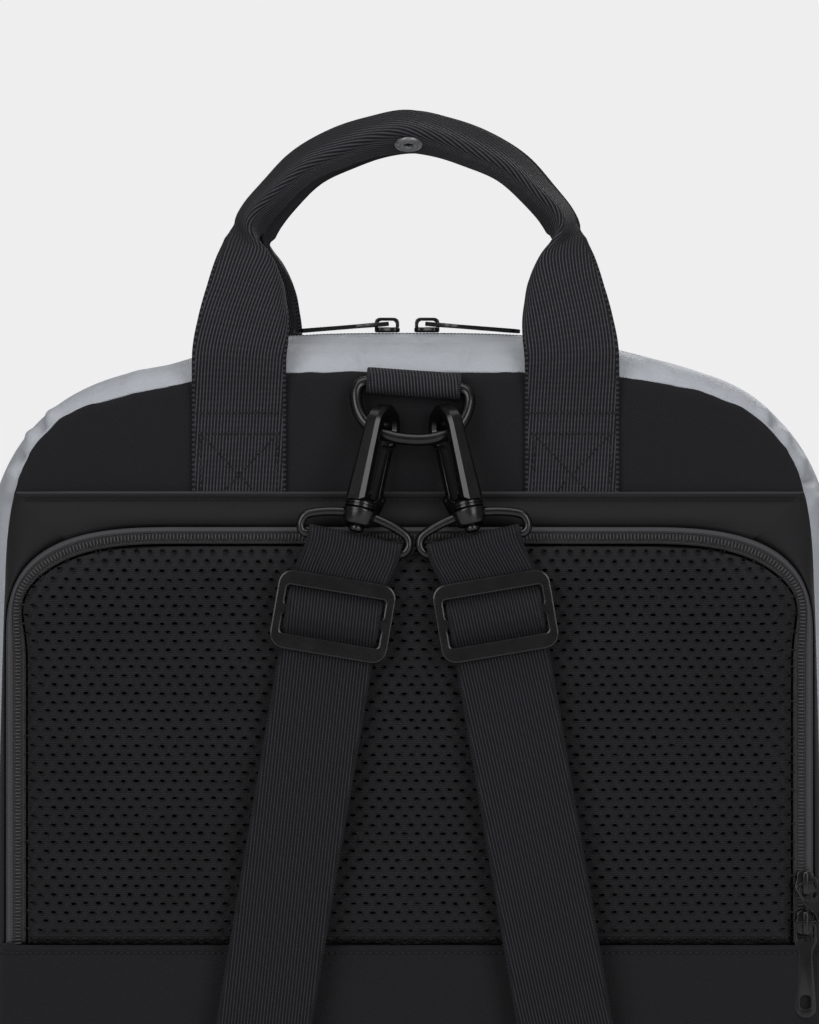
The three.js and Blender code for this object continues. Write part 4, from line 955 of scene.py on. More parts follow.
lower_z = np.concatenate([np.linspace(4, 196, 60), np.arange(197, LOWER_EDGE + 0.1, 0.45)])
lower_share = np.sin(np.linspace(-np.pi / 2, np.pi / 2, 150))
lower_out = flow(LOWER_ROWS[:, 0], LOWER_ROWS[:, 1:], lower_z)
for bump_z, bump_wide, bump_rise in LOWER_BUMPS:
    lower_out += bump_rise * bump(lower_z, bump_z, bump_wide)[:, None]
lower_half = back_half(lower_z)[:, None]
lower_x = lower_half * lower_share
from_edge = lower_half * (1 - np.abs(lower_share))
lower_face = LOWER_RIM + (lower_out - LOWER_RIM) * rolled(from_edge, LOWER_ROLL)
lower_heights = np.broadcast_to(lower_z[:, None], lower_x.shape)
lower_flat = back_points(lower_x, lower_heights, 0)
lower_free = step(lower_heights, 8, 30) * (1 - step(lower_heights, 185, 204))
calm = step(from_edge / LOWER_ROLL, 0.1, 0.9) * lower_free
lower_give = give(lower_flat, (80.0, 11, 1.6), (30.0, 12, 0.5))
lower_front = back_points(lower_x, lower_heights, lower_face + lower_give * calm)
roll_over = [(0.35, -0.5), (0.45, -1.4), (0.0, -2.2), (-3.0, -2.6)]
lower_roll = [lower_front[-1] + (0, -back, up) for up, back in roll_over]
lower_front = np.concatenate([lower_front, np.array(lower_roll)])
lower_back = lower_front.copy()
lower_back[..., 1] = np.minimum(lower_front[..., 1] + LOWER_WALL, SEAM_Y + 0.5)
lower_back[-4:, :, 1] = np.minimum(lower_front[-4:, :, 1] + 0.8, SEAM_Y + 0.5)
lower = slab("lower_back", lower_front, lower_back, twill, lower_front[..., [0, 2]] * MM)
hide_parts("lower_panel")

# Handles
# Two loops of 38 mm twill webbing, each sewn flat to the bag at its feet and folded lengthwise
# at the grip. The near one is sewn to the yoke and the far one to the front of the body.
WEBBING_WIDTH, WEBBING_THICK = 38.0, 1.8
NEAR_HANDLE_X, FAR_HANDLE_X, LEG_X = -1.6, 1.6, 67.0
FOLD_FLAT, HANDLE_COUNT = 4.0, 330
# The grip: heights between which the webbing folds, length of the ribs on the legs and what the
# grip adds to it, how much the ribs spread, and where the woven edge starts
GRIP_LOW, GRIP_HIGH, LEG_RIBS, GRIP_RIBS, GRIP_SPREAD, WOVEN_EDGE = 465, 500, 0.4, 1.2, 0.35, 17.5
# Where the grip is evened out into a flat, darker tone, a painted shade for the faces beside its fold:
# heights in metres, shares of the half width, how far and to what tone
GRIP_SHADE_HEIGHTS, GRIP_SHADE_SHARES, GRIP_SHADE_AMOUNT, GRIP_SHADE_TONE = (0.478, 0.499), (0.2, 0.36), 0.8, 0.42
SELVEDGE_SHARE = 0.93
LEG_FOLD = (48.6, 0, 18.4, 0, 0)
NEAR_FEET = np.array([(377.5, 2.9), (400, 2.9), (420, 2.9)])
FAR_FEET = np.array([(330, -153.8), (370, -153.1), (400, -151.4)])
HANDLE_FOLD = np.array([
    # half span, tilt, shift from the webbing's middle, turns of the inner and outer sides, height,
    # and the distances out from the seam on the near and far handles
    (48.6, 0, 18.4, 0, 0, 428, 3.6, -149.6), (48.9, 3, 18, 10, 0, 440.7, 5.6, -146.5),
    (49.7, 8, 15.5, 45, 4, 451, 4.8, -141), (50.2, 13, 12, 75, 8, 463, 2.2, -131.5),
    (50.7, 17, 9, 90, 12, 472.6, -1, -122.5), (54.7, 21, 3, 98, 25, 482.3, -4.2, -112),
    (59, 23, 0, 94, 46, 487.7, -6, -106), (62.3, 26, 0, 82, 66, 492.4, -7.4, -100.5),
    (63, 29, 0, 71, 71, 496, -8.4, -96), (61, 36, 0, 68, 73, 501, -9.8, -90),
    (53, 45, 0, 72, 69, 508.6, -12, -81), (41, 52, 0, 75, 62, 518.3, -15, -71),
    (26, 66, 0, 73, 58, 525.8, -17.5, -63.5), (13, 78, 0, 70, 61, 531, -19.3, -59),
    (0, 90, 0, 67, 61, 533.6, -20, -57.5),
])


def smooth_line(points, count, closed=False):
    """A rounded line through points, with the same number of steps between each pair."""
    points = np.asarray(points, float)
    if closed:
        ends = np.concatenate([points[-1:], points, points[:2]])
    else:
        ends = np.concatenate([2 * points[:1] - points[1:2], points, 2 * points[-1:] - points[-2:-1]])
    at = np.linspace(0, len(ends) - 3, count, endpoint=not closed)
    i = np.minimum(at.astype(int), len(ends) - 4)
    t = (at - i)[:, None]
    a, b, c, d = (ends[i + k] for k in range(4))
    steps = [np.linalg.norm(q - p, axis=1, keepdims=True) for p, q in ((a, b), (b, c), (c, d))]
    gap = [np.maximum(size, 1e-4) ** 0.5 for size in steps]
    start = ((b - a) / gap[0] - (c - a) / (gap[0] + gap[1]) + (c - b) / gap[1]) * gap[1]
    end = ((c - b) / gap[1] - (d - b) / (gap[1] + gap[2]) + (d - c) / gap[2]) * gap[1]
    curve = (2 * b - 2 * c + start + end) * t**3 + (3 * c - 3 * b - 2 * start - end) * t**2
    return curve + start * t + b


def webbing_finish(name, slant, pitch, dark, light):
    """Twill webbing with slanted ribs and a finer woven edge, evened out beside the grip's fold into a flat,
    darker tone, a painted shade, with smoother relief.
    """
    finish = Finish(name, light, 0.75, sheen=0.03, specular=0.25)
    half = WEBBING_WIDTH / 2 * MM
    across = finish.along(finish.cloth_place, 0)
    along = finish.along(finish.cloth_place, 1)
    ribs = ((across + along * slant) / pitch).wave()
    threads = (along / 0.0009).wave() * (across / 0.00045).wave()
    edge = abs(across - half) / half
    selvedge = edge > SELVEDGE_SHARE
    woven = (ribs * 0.85 + threads * 0.15) * (1 - selvedge) + (along / 0.0008).wave() * selvedge * 0.7
    height = finish.along(finish.object_place, 2)
    # Beside the grip's fold the weave is blended into one flat, darker tone: a painted shade for the fold's
    # faces, which also evens out their roughness and relief.
    grip_smoothing_and_shade = height.ease(*GRIP_SHADE_HEIGHTS) * edge.ease(*GRIP_SHADE_SHARES) * GRIP_SHADE_AMOUNT
    woven = woven * (1 - grip_smoothing_and_shade) + grip_smoothing_and_shade * GRIP_SHADE_TONE
    fuzz = finish.cloud(90.0, detail=5.0)
    finish.colour(woven**2.2 * 0.92 + fuzz * 0.08, dark, light)
    finish.rough(0.9 - woven * 0.25)
    finish.relief(woven, 0.0005)
    return finish


def webbing_band(name, middles, thickness, finish, uv):
    """Webbing of even thickness about a grid of points, with rounded edges."""
    edge = np.minimum(np.arange(middles.shape[1]), np.arange(middles.shape[1])[::-1])
    plump = np.where(edge == 0, 0.45, np.where(edge == 1, 0.85, 1.0))[None, :, None]
    off = surface_ways(middles) * plump * thickness / 2
    return slab(name, middles + off, middles - off, finish, uv)


WEB_ACROSS = np.concatenate([[-19, -18.7, -18.2], np.linspace(-17, 17, 27), [18.2, 18.7, 19]])


def handle_piece(name, feet, out_column, middle_x, facing):
    """Webbing whose two sides turn back about a fold, which moves across it."""
    leg = [(*LEG_FOLD, z, out) for z, out in feet]
    leg += [(*row[:6], row[out_column]) for row in HANDLE_FOLD]
    left, right = np.array(leg) * (-1, 1, 1, 1, 1, 1, 1), np.array(leg[-2::-1])
    right[:, 1] = 180 - right[:, 1]
    rows = np.concatenate([left, right])
    fold = smooth_line(back_points(middle_x + rows[:, 0], rows[:, 5], rows[:, 6]), HANDLE_COUNT)
    tilt, shift, inner, outer = smooth_line(rows[:, 1:5], HANDLE_COUNT).T[..., None]
    tilt, inner, outer = np.radians(tilt), np.radians(inner), np.radians(outer)
    inside = np.concatenate([np.cos(tilt), 0 * tilt, -np.sin(tilt)], axis=1)
    rearward = np.array([0, facing, 0])
    inner_way = (np.cos(inner) * inside + np.sin(inner) * rearward)[:, None]
    outer_way = (np.sin(outer) * rearward - np.cos(outer) * inside)[:, None]
    off_fold = WEB_ACROSS - shift
    flat = np.clip(WEBBING_WIDTH / 2 - shift, 0.5, FOLD_FLAT)
    q = np.clip((off_fold + flat) / (2 * flat), 0, 1)
    to_outer = np.where(off_fold < -flat, -off_fold, (1 - q) ** 2 * flat)
    to_inner = np.where(off_fold > flat, off_fold, q**2 * flat)
    middles = fold[:, None] + to_outer[..., None] * outer_way + to_inner[..., None] * inner_way
    grip = step(fold[:, 2], GRIP_LOW, GRIP_HIGH)
    far = distances(fold, LEG_RIBS + GRIP_RIBS * grip[1:])
    u = WEBBING_WIDTH / 2 + WEB_ACROSS * (1 - GRIP_SPREAD * grip[:, None] * (np.abs(WEB_ACROSS) < WOVEN_EDGE))
    uv = np.stack([u, np.repeat(far[:, None], len(WEB_ACROSS), axis=1)], axis=2) * MM
    return webbing_band(name, middles, WEBBING_THICK, handle_webbing, uv)


handle_webbing = webbing_finish(
    "handle_webbing", -0.16, 0.0013, (0.0012, 0.0012, 0.0016), (0.07, 0.068, 0.08))
near_handle = handle_piece("near_handle", NEAR_FEET, 6, NEAR_HANDLE_X, 1)
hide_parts("back_handle")
far_handle = handle_piece("far_handle", FAR_FEET, 7, FAR_HANDLE_X, -1)
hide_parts("front_handle")

# Press stud
# A pressed black metal ring under the inner side of the near grip, which snaps the two handles
# together.
black_metal = Finish("black_metal", (0.004, 0.004, 0.0046), 0.25, specular=0.5)
metal_wear = black_metal.cloud(220.0, detail=4.0)
black_metal.colour(metal_wear, (0.0012, 0.0012, 0.0015), (0.0042, 0.0042, 0.0048))
black_metal.rough(0.17 + metal_wear * 0.12)
black_metal.relief(black_metal.cloud(1500.0), 0.00003)


def turned_form(profile, sides=36):
    """Points and faces of a closed profile of radii and heights, turned about Z."""
    turn = np.linspace(0, 2 * np.pi, sides, endpoint=False)
    profile = np.asarray(profile, float)
    ring = np.stack([np.cos(turn), np.sin(turn)], axis=1)
    heights = np.broadcast_to(profile[:, 1:, None], (len(profile), sides, 1))
    points = np.concatenate([profile[:, :1, None] * ring[None], heights], axis=2)
    return points.reshape(-1, 3), grid_quads(len(profile), sides, wrap=True)


def mesh_form(source):
    """Points and faces of a curve, as a solid."""
    thing = bpy.data.objects.new("form", source)
    bpy.context.scene.collection.objects.link(thing)
    bpy.context.view_layer.update()
    mesh = thing.evaluated_get(bpy.context.evaluated_depsgraph_get()).to_mesh()
    points = np.array([vertex.co for vertex in mesh.vertices])
    faces = [list(polygon.vertices) for polygon in mesh.polygons]
    bpy.data.objects.remove(thing)
    bpy.data.curves.remove(source)
    return points, faces


def plate_form(outline, holes, thickness, bevel, upright=False, rounds=3):
    """A flat plate with rounded or chamfered edges, from an outline and holes in x and y."""
    flat = bpy.data.curves.new("plate", "CURVE")
    flat.dimensions = "2D"
    flat.fill_mode = "BOTH"
    flat.extrude = thickness / 2 - bevel
    flat.bevel_depth = bevel
    flat.bevel_resolution = rounds
    flat.offset = -bevel
    for loop in (outline, *holes):
        spline = flat.splines.new("POLY")
        spline.points.add(len(loop) - 1)
        for point, (x, y) in zip(spline.points, loop):
            point.co = (x, y, 0, 1)
        spline.use_cyclic_u = True
    points, faces = mesh_form(flat)
    if upright:
        points = np.stack([points[:, 0], -points[:, 2], points[:, 1]], axis=1)
    return points, faces


def rod_form(line, radius):
    """A round wire along a closed line."""
    bent = bpy.data.curves.new("rod", "CURVE")
    bent.dimensions = "3D"
    bent.bevel_depth = radius
    bent.bevel_resolution = 6
    spline = bent.splines.new("POLY")
    spline.points.add(len(line) - 1)
    for point, place in zip(spline.points, line):
        point.co = (*place, 1)
    spline.use_cyclic_u = True
    return mesh_form(bent)


def metal_piece(name, forms, frame_at, node, body, sharp=40, finish=black_metal):
    """One metal piece of joined forms, each with or without a place of its own, for a solid."""
    points, faces = [], []
    for form_points, form_faces, *place in forms:
        first = len(points)
        whole = frame_at @ place[0] if place else frame_at
        points += [list(whole @ Vector(p)) for p in form_points]
        faces += [[i + first for i in face] for face in form_faces]
    piece = piece_from(name, points, faces, None, finish, body)
    piece.data.set_sharp_from_angle(angle=math.radians(sharp))
    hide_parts(node)
    return piece


def turn_by(degrees, axis):
    return Matrix.Rotation(math.radians(degrees), 4, axis)


def arc_points(radius, turns, x=0.0, y=0.0):
    """Points of an arc about a centre."""
    return [(x + radius * math.cos(t), y + radius * math.sin(t)) for t in turns]


SNAP_PROFILE = [
    (2.0, 0.0), (2.0, -0.75), (2.35, -1.2), (3.0, -1.35), (3.5, -1.2), (3.8, -0.95), (4.2, -1.15),
    (4.8, -1.3), (5.4, -1.1), (5.8, -0.6), (5.8, 0.0), (2.0, 0.0),
]
SNAP_PLACE, SNAP_LEAN = (NEAR_HANDLE_X + 1.2, SEAM_Y + 20, 533.6), -23
snap_under = Matrix.Translation((0, 8.6, -WEBBING_THICK / 2 - 0.45))
snap_frame = Matrix.Translation(SNAP_PLACE) @ turn_by(SNAP_LEAN, "X") @ snap_under
stud_metal = Finish("stud_metal", (0.06, 0.06, 0.064), 0.36, metallic=0.5)
stud_wear = stud_metal.cloud(700.0, detail=4.0)
stud_metal.colour(stud_wear, (0.06, 0.06, 0.064), (0.32, 0.32, 0.33))
stud_metal.relief(stud_wear, 0.00008)
metal_piece("press_stud", [turned_form(SNAP_PROFILE)], snap_frame, "handle_snap", "bag",
            finish=stud_metal)

# Main zip
# Nylon coil zip in a slot of the grey body, from shoulder to shoulder over the top. Its black
# tape is sewn in along both edges of the slot.
MAIN_TAPE_PROFILE = np.array([
    (-5.8, -1.2), (-5.6, -0.5), (-4.0, -0.3), (-2.3, -0.25),
    (2.3, -0.25), (4.0, -0.3), (5.6, -0.5), (5.8, -1.2),
])
MAIN_TAPE_THICK, MAIN_TOOTH_OFF, MAIN_TOOTH_LIFT, MAIN_TOOTH_WIDTH = 1.3, 1.05, 0.1, 2.2


def over_the_top(across, height):
    """A line on the body at a distance across the main zip, lifted off the cloth."""
    ring = body_ring(MAIN_ZIP_DEPTH + across)
    line = spread(ring[ring[:, 2] > MAIN_ZIP_FOOT], 320)
    along = unit(np.gradient(line, axis=0))
    away = np.stack([along[:, 2], np.zeros(len(line)), -along[:, 0]], axis=1)
    return line + away * height, away


main_rows = [over_the_top(across, height) for across, height in MAIN_TAPE_PROFILE]
main_front = np.array([line for line, _ in main_rows])
main_back = np.array([line - away * MAIN_TAPE_THICK for line, away in main_rows])
main_tape = slab("main_zip_band", main_front, main_back, tape_finish("main_zip_tape", 0.0))
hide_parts("main_zip_tape")
main_teeth = [over_the_top(side * MAIN_TOOTH_OFF, MAIN_TOOTH_LIFT) for side in (-1, 1)]
main_sizes = (TOOTH_PITCH, TOOTH_LENGTH, MAIN_TOOTH_WIDTH, TOOTH_HEIGHT)
beads("main_zip_teeth", *zip(*main_teeth), main_sizes, coil, "zip_tape")

# Zip sliders and pulls
# Each slider is a cast black metal body on the coil with a bridge, and a long flat pull hangs
# on the bridge by its eye.
SLIDER_LENGTH, SLIDER_WIDTH, SLIDER_LOW, SLIDER_HIGH = 10.0, 8.6, 0.9, 2.9
PULL_PIVOT, PULL_LENGTH, PULL_THICK, PULL_BAR = 4.3, 38.0, 1.6, 0.8
PULL_HEAD, PULL_NECK, PULL_TAIL = 4.6, 2.6, 4.3
PULL_EYE_FAR, PULL_EYE_HALF = 7.0, 3.4
PULL_WINDOW = (29.0, 34.6, 2.1)
ZIP_PULLS = [
    # zip, end, place on the tape, lie and swing of the pull
    ("main_zip", "left", (-9.2, SEAM_Y + MAIN_ZIP_DEPTH, 451.3), 4.6, 0),
    ("main_zip", "right", (7.2, SEAM_Y + MAIN_ZIP_DEPTH, 451.3), 4.6, 0),
    ("back_zip", "upper", (158.6, SEAM_Y - 10.1, 230.4), -10, 28),
    ("back_zip", "lower", (158.6, SEAM_Y - 10.1, 214.4), -0.5, 0),
]


def rounded_box(width, height, radius, steps=6, centre=(0, 0)):
    """The outline of a rectangle with round corners."""
    turn = np.linspace(0, np.pi / 2, steps)
    loop = []
    for quarter, (sx, sy) in enumerate([(1, 1), (-1, 1), (-1, -1), (1, -1)]):
        at = turn + quarter * np.pi / 2
        x = centre[0] + sx * (width / 2 - radius) + radius * np.cos(at)
        y = centre[1] + sy * (height / 2 - radius) + radius * np.sin(at)
        loop += list(zip(x, y))
    return loop


def slider_outline():
    """The slider's plate: a rounded shield with a narrow waist."""
    half, wide = SLIDER_LENGTH / 2, SLIDER_WIDTH / 2
    corners = [(half, 0), (half - 0.3, 2.4), (half - 1.8, wide), (1.2, wide), (-1.4, wide * 0.84),
               (-half + 1.4, wide * 0.8), (-half, wide * 0.45)]
    corners = corners + [(x, -y) for x, y in corners[:0:-1]]
    return smooth_line(corners, 60, closed=True)


BRIDGE_OUTLINE = [
    (-5, 2.3), (-3.6, 2.3), (-3.6, 4.4), (-3.2, 5.2), (-2.4, 5.6), (2.4, 5.6), (3.2, 5.2), (3.6, 4.4),
    (3.6, 2.3), (5, 2.3), (5, 5.0), (4.6, 6.1), (3.6, 6.75), (2.6, 6.9), (-2.6, 6.9), (-3.6, 6.75),
    (-4.6, 6.1), (-5, 5.0),
]
PULL_OUTLINE = [
    (-PULL_BAR, -PULL_HEAD + 0.8), (-PULL_BAR + 0.8, -PULL_HEAD), (PULL_EYE_FAR + 0.2, -PULL_HEAD),
    (PULL_EYE_FAR + 2, -PULL_HEAD + 0.6), (PULL_EYE_FAR + 4, -PULL_NECK - 0.35),
    (PULL_EYE_FAR + 6, -PULL_NECK),
]
tail_turn = np.linspace(-np.pi / 2, np.pi / 2, 20)
pull_head_back = [(x, -y) for x, y in PULL_OUTLINE[::-1]]
pull_outline = PULL_OUTLINE + arc_points(PULL_TAIL, tail_turn, PULL_LENGTH - PULL_TAIL) + pull_head_back
pull_eye = rounded_box(PULL_EYE_FAR - PULL_BAR, 2 * PULL_EYE_HALF, 1.2,
                       centre=((PULL_EYE_FAR + PULL_BAR) / 2, 0))
window_near, window_far, window_half = PULL_WINDOW
pull_window = rounded_box(window_far - window_near, 2 * window_half, 1.4,
                          centre=((window_near + window_far) / 2, 0))
plate_middle = Matrix.Translation((0, 0, (SLIDER_LOW + SLIDER_HIGH) / 2))
for zip_name, end, place, lie, swing in ZIP_PULLS:
    if zip_name == "main_zip":
        along_tape, off_tape = Vector((math.copysign(1, place[0]), 0, 0)), Vector((0, 0, 1))
    else:
        along_tape, off_tape = Vector((0, 0, -1)), Vector((0, -1, 0))
    across_tape = off_tape.cross(along_tape)
    turn = Matrix((along_tape, across_tape, off_tape)).transposed().to_4x4()
    on_tape = Matrix.Translation(place) @ turn
    slider_forms = [
        (*plate_form(slider_outline(), [], SLIDER_HIGH - SLIDER_LOW, 0.6), plate_middle),
        plate_form(BRIDGE_OUTLINE, [], 2.2, 0.45, upright=True),
    ]
    metal_piece(f"{zip_name}_slider_body_{end}", slider_forms, on_tape, f"{zip_name}_slider_{end}", "bag")
    hung = on_tape @ Matrix.Translation((0, 0, PULL_PIVOT)) @ turn_by(swing, "Z") @ turn_by(lie, "Y")
    pull_form = plate_form(pull_outline, [pull_eye, pull_window], PULL_THICK, 0.3)
    short_name = zip_name.split("_")[0]
    metal_piece(f"{zip_name}_puller_{end}", [pull_form], hung, f"{zip_name}_pull_{end}",
                f"{short_name}_pull_{end}")

# D-ring and its loop
# A cast black metal ring hangs by its straight bar in a short loop of webbing, and the loop's
# two ends are sewn into the seam over the yoke.
D_RING_PLACE, D_RING_TILT, D_RING_LEAN, D_RING_WIRE = (1.6, SEAM_Y - 6.4, 430.0), 4, 17, 5.0
D_HALF, D_HEIGHT, D_CORNER, D_POWER = 22.8, 23.0, 4.5, 2.3
LOOP_THICK, LOOP_RADIUS = 1.6, 3.75
LOOP_START = [(7.2, 4.1), (4.6, 5.1), (2.4, 5.2), (0.6, 4.6)]
LOOP_END = [(3.9, 1.6), (4.5, 2.4), (5.8, 2.9), (7.4, 2.9)]

d_frame = Matrix.Translation(D_RING_PLACE) @ turn_by(D_RING_TILT, "Y")
d_turn = np.arange(6) / 6 * np.pi / 2
d_bow_x, d_bow_z = bow(d_turn, D_POWER)
d_right = [(D_HALF * 0.4, 0), (D_HALF - D_CORNER, 0), (D_HALF - D_CORNER * 0.3, -D_CORNER * 0.3)]
d_right += zip(D_HALF * d_bow_x, -D_CORNER - (D_HEIGHT - D_CORNER) * d_bow_z)
d_line = d_right + [(0, -D_HEIGHT)] + [(-x, z) for x, z in d_right[::-1]]
d_wire = smooth_line([(x, 0, z) for x, z in d_line], 170, closed=True)
d_lean = turn_by(-D_RING_LEAN, "X")
d_form = rod_form(d_wire, D_RING_WIRE / 2)
metal_piece("d_ring_wire", [(*d_form, d_lean)], d_frame, "d_ring", "bag")


def placed(points, place):
    """A grid of points moved by a matrix."""
    return points @ np.array(place.to_3x3()).T + np.array(place.translation)


def band_grid(line, count):
    """Middle points and lengths of webbing whose line is given as rearward and upward distances."""
    path = smooth_line(line, count)
    middles = np.zeros((count, len(WEB_ACROSS), 3))
    middles[..., 0] = WEB_ACROSS
    middles[..., 1:] = path[:, None]
    v, u = np.meshgrid(distances(path), WEB_ACROSS + WEBBING_WIDTH / 2, indexing="ij")
    return middles, np.stack([u, v], axis=2) * MM


loop_turn = np.radians(np.linspace(108, 372, 14))
loop_line = LOOP_START + arc_points(LOOP_RADIUS, loop_turn) + LOOP_END
loop_middles, loop_uv = band_grid(loop_line, 130)
ring_loop = webbing_band("ring_loop", placed(loop_middles, d_frame), LOOP_THICK, handle_webbing, loop_uv)
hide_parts("d_ring_loop")

# Shoulder straps
# Two 38 mm webbing straps run up the back. Each one threads a flat slider, goes round the bar of
# its swivel eye and comes down again behind; its foot is sewn flat on the lower panel.
STRAP_X, STRAP_MIDDLE, STRAP_Z, STRAP_TILT, STRAP_THICK, STRAP_CUP = 32.5, 1.9, 337.4, 9.6, 1.6, 0.5
PLATE_WIDTH, PLATE_HEIGHT, PLATE_SIDE, PLATE_END, PLATE_MID = 47.6, 32.0, 3.9, 6.4, 4.0
PLATE_THICK, PLATE_CORNER, PLATE_OUT = 2.4, 6.0, 26.0
EYE_OUT, EYE_BAR_Z, EYE_SKEW, EYE_WIRE, EYE_TILT, BAR_TO_HUB = 21.0, 30.2, 3.6, 3.7, 3.0, 12.0
STRAP_RUN = [
    # out from the seam, and up from the slider
    (6.6, -316), (7.9, -300), (9.8, -282), (16, -240), (22.5, -185), (26, -120), (26, -70), (24.4, -40),
]
EYE_SHAPE = [(5, -0.5), (16.8, -3.2), (21.1, -5.6), (22, -9.2), (20.3, -11.9)]

strap_webbing = webbing_finish(
    "strap_webbing", 0.06, 0.00125, (0.001, 0.001, 0.0014), (0.032, 0.0305, 0.0385))
strap_behind = PLATE_OUT - PLATE_THICK / 2 - GAP - STRAP_THICK / 2
strap_before = PLATE_OUT + PLATE_THICK / 2 + GAP + STRAP_THICK / 2
eye_bend = EYE_WIRE / 2 + GAP + STRAP_THICK / 2
window_mid = (PLATE_HEIGHT / 2 - PLATE_END + PLATE_MID / 2) / 2
over_bar, under_bar = PLATE_MID / 2 + 0.6, PLATE_HEIGHT / 2 - PLATE_END - 0.5
strap_line = STRAP_RUN + [
    (strap_behind - 0.2, -PLATE_HEIGHT / 2 - 4), (strap_behind, -under_bar), (PLATE_OUT, -window_mid),
    (strap_before, -over_bar), (strap_before + 0.2, 0), (strap_before, over_bar), (PLATE_OUT, window_mid),
    (strap_behind, under_bar), (strap_behind, PLATE_HEIGHT / 2),
]
bar_turn = np.radians(np.linspace(-10, 190, 7))
strap_line += arc_points(eye_bend, bar_turn, EYE_OUT, EYE_BAR_Z)
strap_line += [(strap_behind - 2.5, up) for up in (13, 2, -5)]
plate_window = (PLATE_HEIGHT - 2 * PLATE_END - PLATE_MID) / 2
window_up = (PLATE_MID + plate_window) / 2
plate_holes = [rounded_box(PLATE_WIDTH - 2 * PLATE_SIDE, plate_window, 1.2, centre=(0, up * window_up))
               for up in (-1, 1)]
plate_outline = rounded_box(PLATE_WIDTH, PLATE_HEIGHT, PLATE_CORNER)
strap_frames = {}
strap_feet = []
for side, label in ((-1, "left"), (1, "right")):
    strap_frame = (Matrix.Translation((STRAP_MIDDLE + side * STRAP_X, SEAM_Y, STRAP_Z))
                   @ turn_by(-side * STRAP_TILT, "Y"))
    strap_frames[side] = strap_frame
    strap, strap_uv = band_grid([(-out, up) for out, up in strap_line], 12 * len(strap_line))
    to_eye = step(strap[..., 2], 12, EYE_BAR_Z)
    free_run = step(strap[..., 2], -300, -240) * (1 - step(strap[..., 2], -60, -25))
    strap[..., 1] -= STRAP_CUP * (1 - (strap[..., 0] / (WEBBING_WIDTH / 2)) ** 2) * free_run
    strap[..., 2] += side * strap[..., 0] * math.tan(math.radians(EYE_TILT)) * to_eye
    strap[..., 0] -= side * EYE_SKEW * to_eye
    strap = placed(strap, strap_frame)
    strap_piece = webbing_band(f"{label}_strap", strap, STRAP_THICK, strap_webbing, strap_uv)
    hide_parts(f"{label}_shoulder_strap")
    strap_feet.append(strap)
    slider_plate = plate_form(plate_outline, plate_holes, PLATE_THICK, 0.7, upright=True, rounds=1)
    slider_place = Matrix.Translation((0, -PLATE_OUT, 0))
    metal_piece(f"{label}_slider_plate", [(*slider_plate, slider_place)], strap_frame,
                f"{label}_strap_slider", "bag", sharp=18)

# Snap hooks
# Each hook is a cast bent bar on a collar that turns on a rivet in the hub of its swivel eye.
# A sprung gate on a pin closes its mouth.
HOOK_TILT, HOOK_LEAN, HOOK_TURN, HOOK_THICK = 12.2, 9.0, 60.0, 6.4
HOOK_SHANK_U, HOOK_GATE_U = -3.5, 10.5
BEND_Z, BEND_OUTER, BEND_INNER, NOSE_Z, HOOK_FOOT = 36.0, 10.0, 4.6, 30.4, 4.5
GATE_PIVOT_Z, GATE_LENGTH, GATE_HALF, GATE_PIN, GATE_THICK = 8.2, 21.6, 1.6, 0.9, 4.2
EAR_LOW, EAR_FLOOR, EAR_CHEEK, EAR_THICK = 1.8, 6.2, 1.1, 7.0
SHANK_FOOT_SHARE, SHANK_FOOT_BULGE = 1.32, 0.9
HUB_PROFILE = [
    (2.8, 1.5), (6.3, 1.5), (6.8, 1.3), (6.95, 0.9), (6.8, 0.45), (6.7, -0.2), (5.9, -3.9), (5.5, -4.6),
    (5.0, -4.9), (4.5, -4.75), (4.2, -4.0), (4.0, -3.0), (2.8, -2.9), (2.8, 1.5),
]
COLLAR_PROFILE = [
    (0, 1.8), (6.0, 1.8), (6.5, 2.15), (6.5, 2.7), (6.1, 2.9), (6.1, 3.2), (6.5, 3.4), (6.5, 4.1),
    (6.2, 4.6), (5.3, 5.2), (4.4, 5.6), (0, 5.6),
]
STEM_PROFILE = [(0, -6.2), (2.4, -6.2), (2.4, 2.2), (0, 2.2)]
RIVET_PROFILE = [
    (0, -6.5), (0.9, -6.6), (1.3, -7.3), (1.9, -7.5), (2.7, -7.2), (3.2, -6.5), (3.2, -5.8),
    (2.9, -5.3), (0, -5.3),
]
PIN_PROFILE = [
    (0, -3.8), (0.9, -3.8), (1.1, -3.65), (1.1, -3.5), (0.62, -3.4), (0.62, 3.4), (1.1, 3.5), (1.1, 3.65),
    (0.9, 3.8), (0, 3.8),
]

bend_u = (HOOK_SHANK_U + HOOK_GATE_U) / 2
arc = np.linspace(0, np.pi, 28)
hook_outline = [(bend_u - BEND_OUTER, HOOK_FOOT)]
hook_outline += arc_points(BEND_OUTER, arc[::-1], bend_u, BEND_Z)
hook_outline += [(bend_u + BEND_OUTER - 0.6, NOSE_Z), (bend_u + BEND_INNER + 0.6, NOSE_Z)]
hook_outline += arc_points(BEND_INNER, arc, bend_u, BEND_Z)
hook_outline += [(bend_u - BEND_INNER, HOOK_FOOT)]
hook_points, hook_faces = plate_form(hook_outline, [], HOOK_THICK, 1.3, upright=True, rounds=0)
to_foot = (1 - step(hook_points[:, 2], HOOK_FOOT, BEND_Z - 4)) * (hook_points[:, 0] < bend_u)
hook_points[:, 1] *= 1 + (SHANK_FOOT_SHARE - 1) * to_foot
hook_points[:, 0] -= SHANK_FOOT_BULGE * to_foot * (hook_points[:, 0] < HOOK_SHANK_U)
ear_arc = np.linspace(-0.5, np.pi - 0.9, 14)
ear_radius = GATE_HALF + 0.5
ear_outline = [(2, EAR_LOW), (HOOK_GATE_U - 1, EAR_LOW)]
ear_outline += arc_points(ear_radius, ear_arc, HOOK_GATE_U, GATE_PIVOT_Z)
ear_outline += [(4, HOOK_FOOT + 1)]
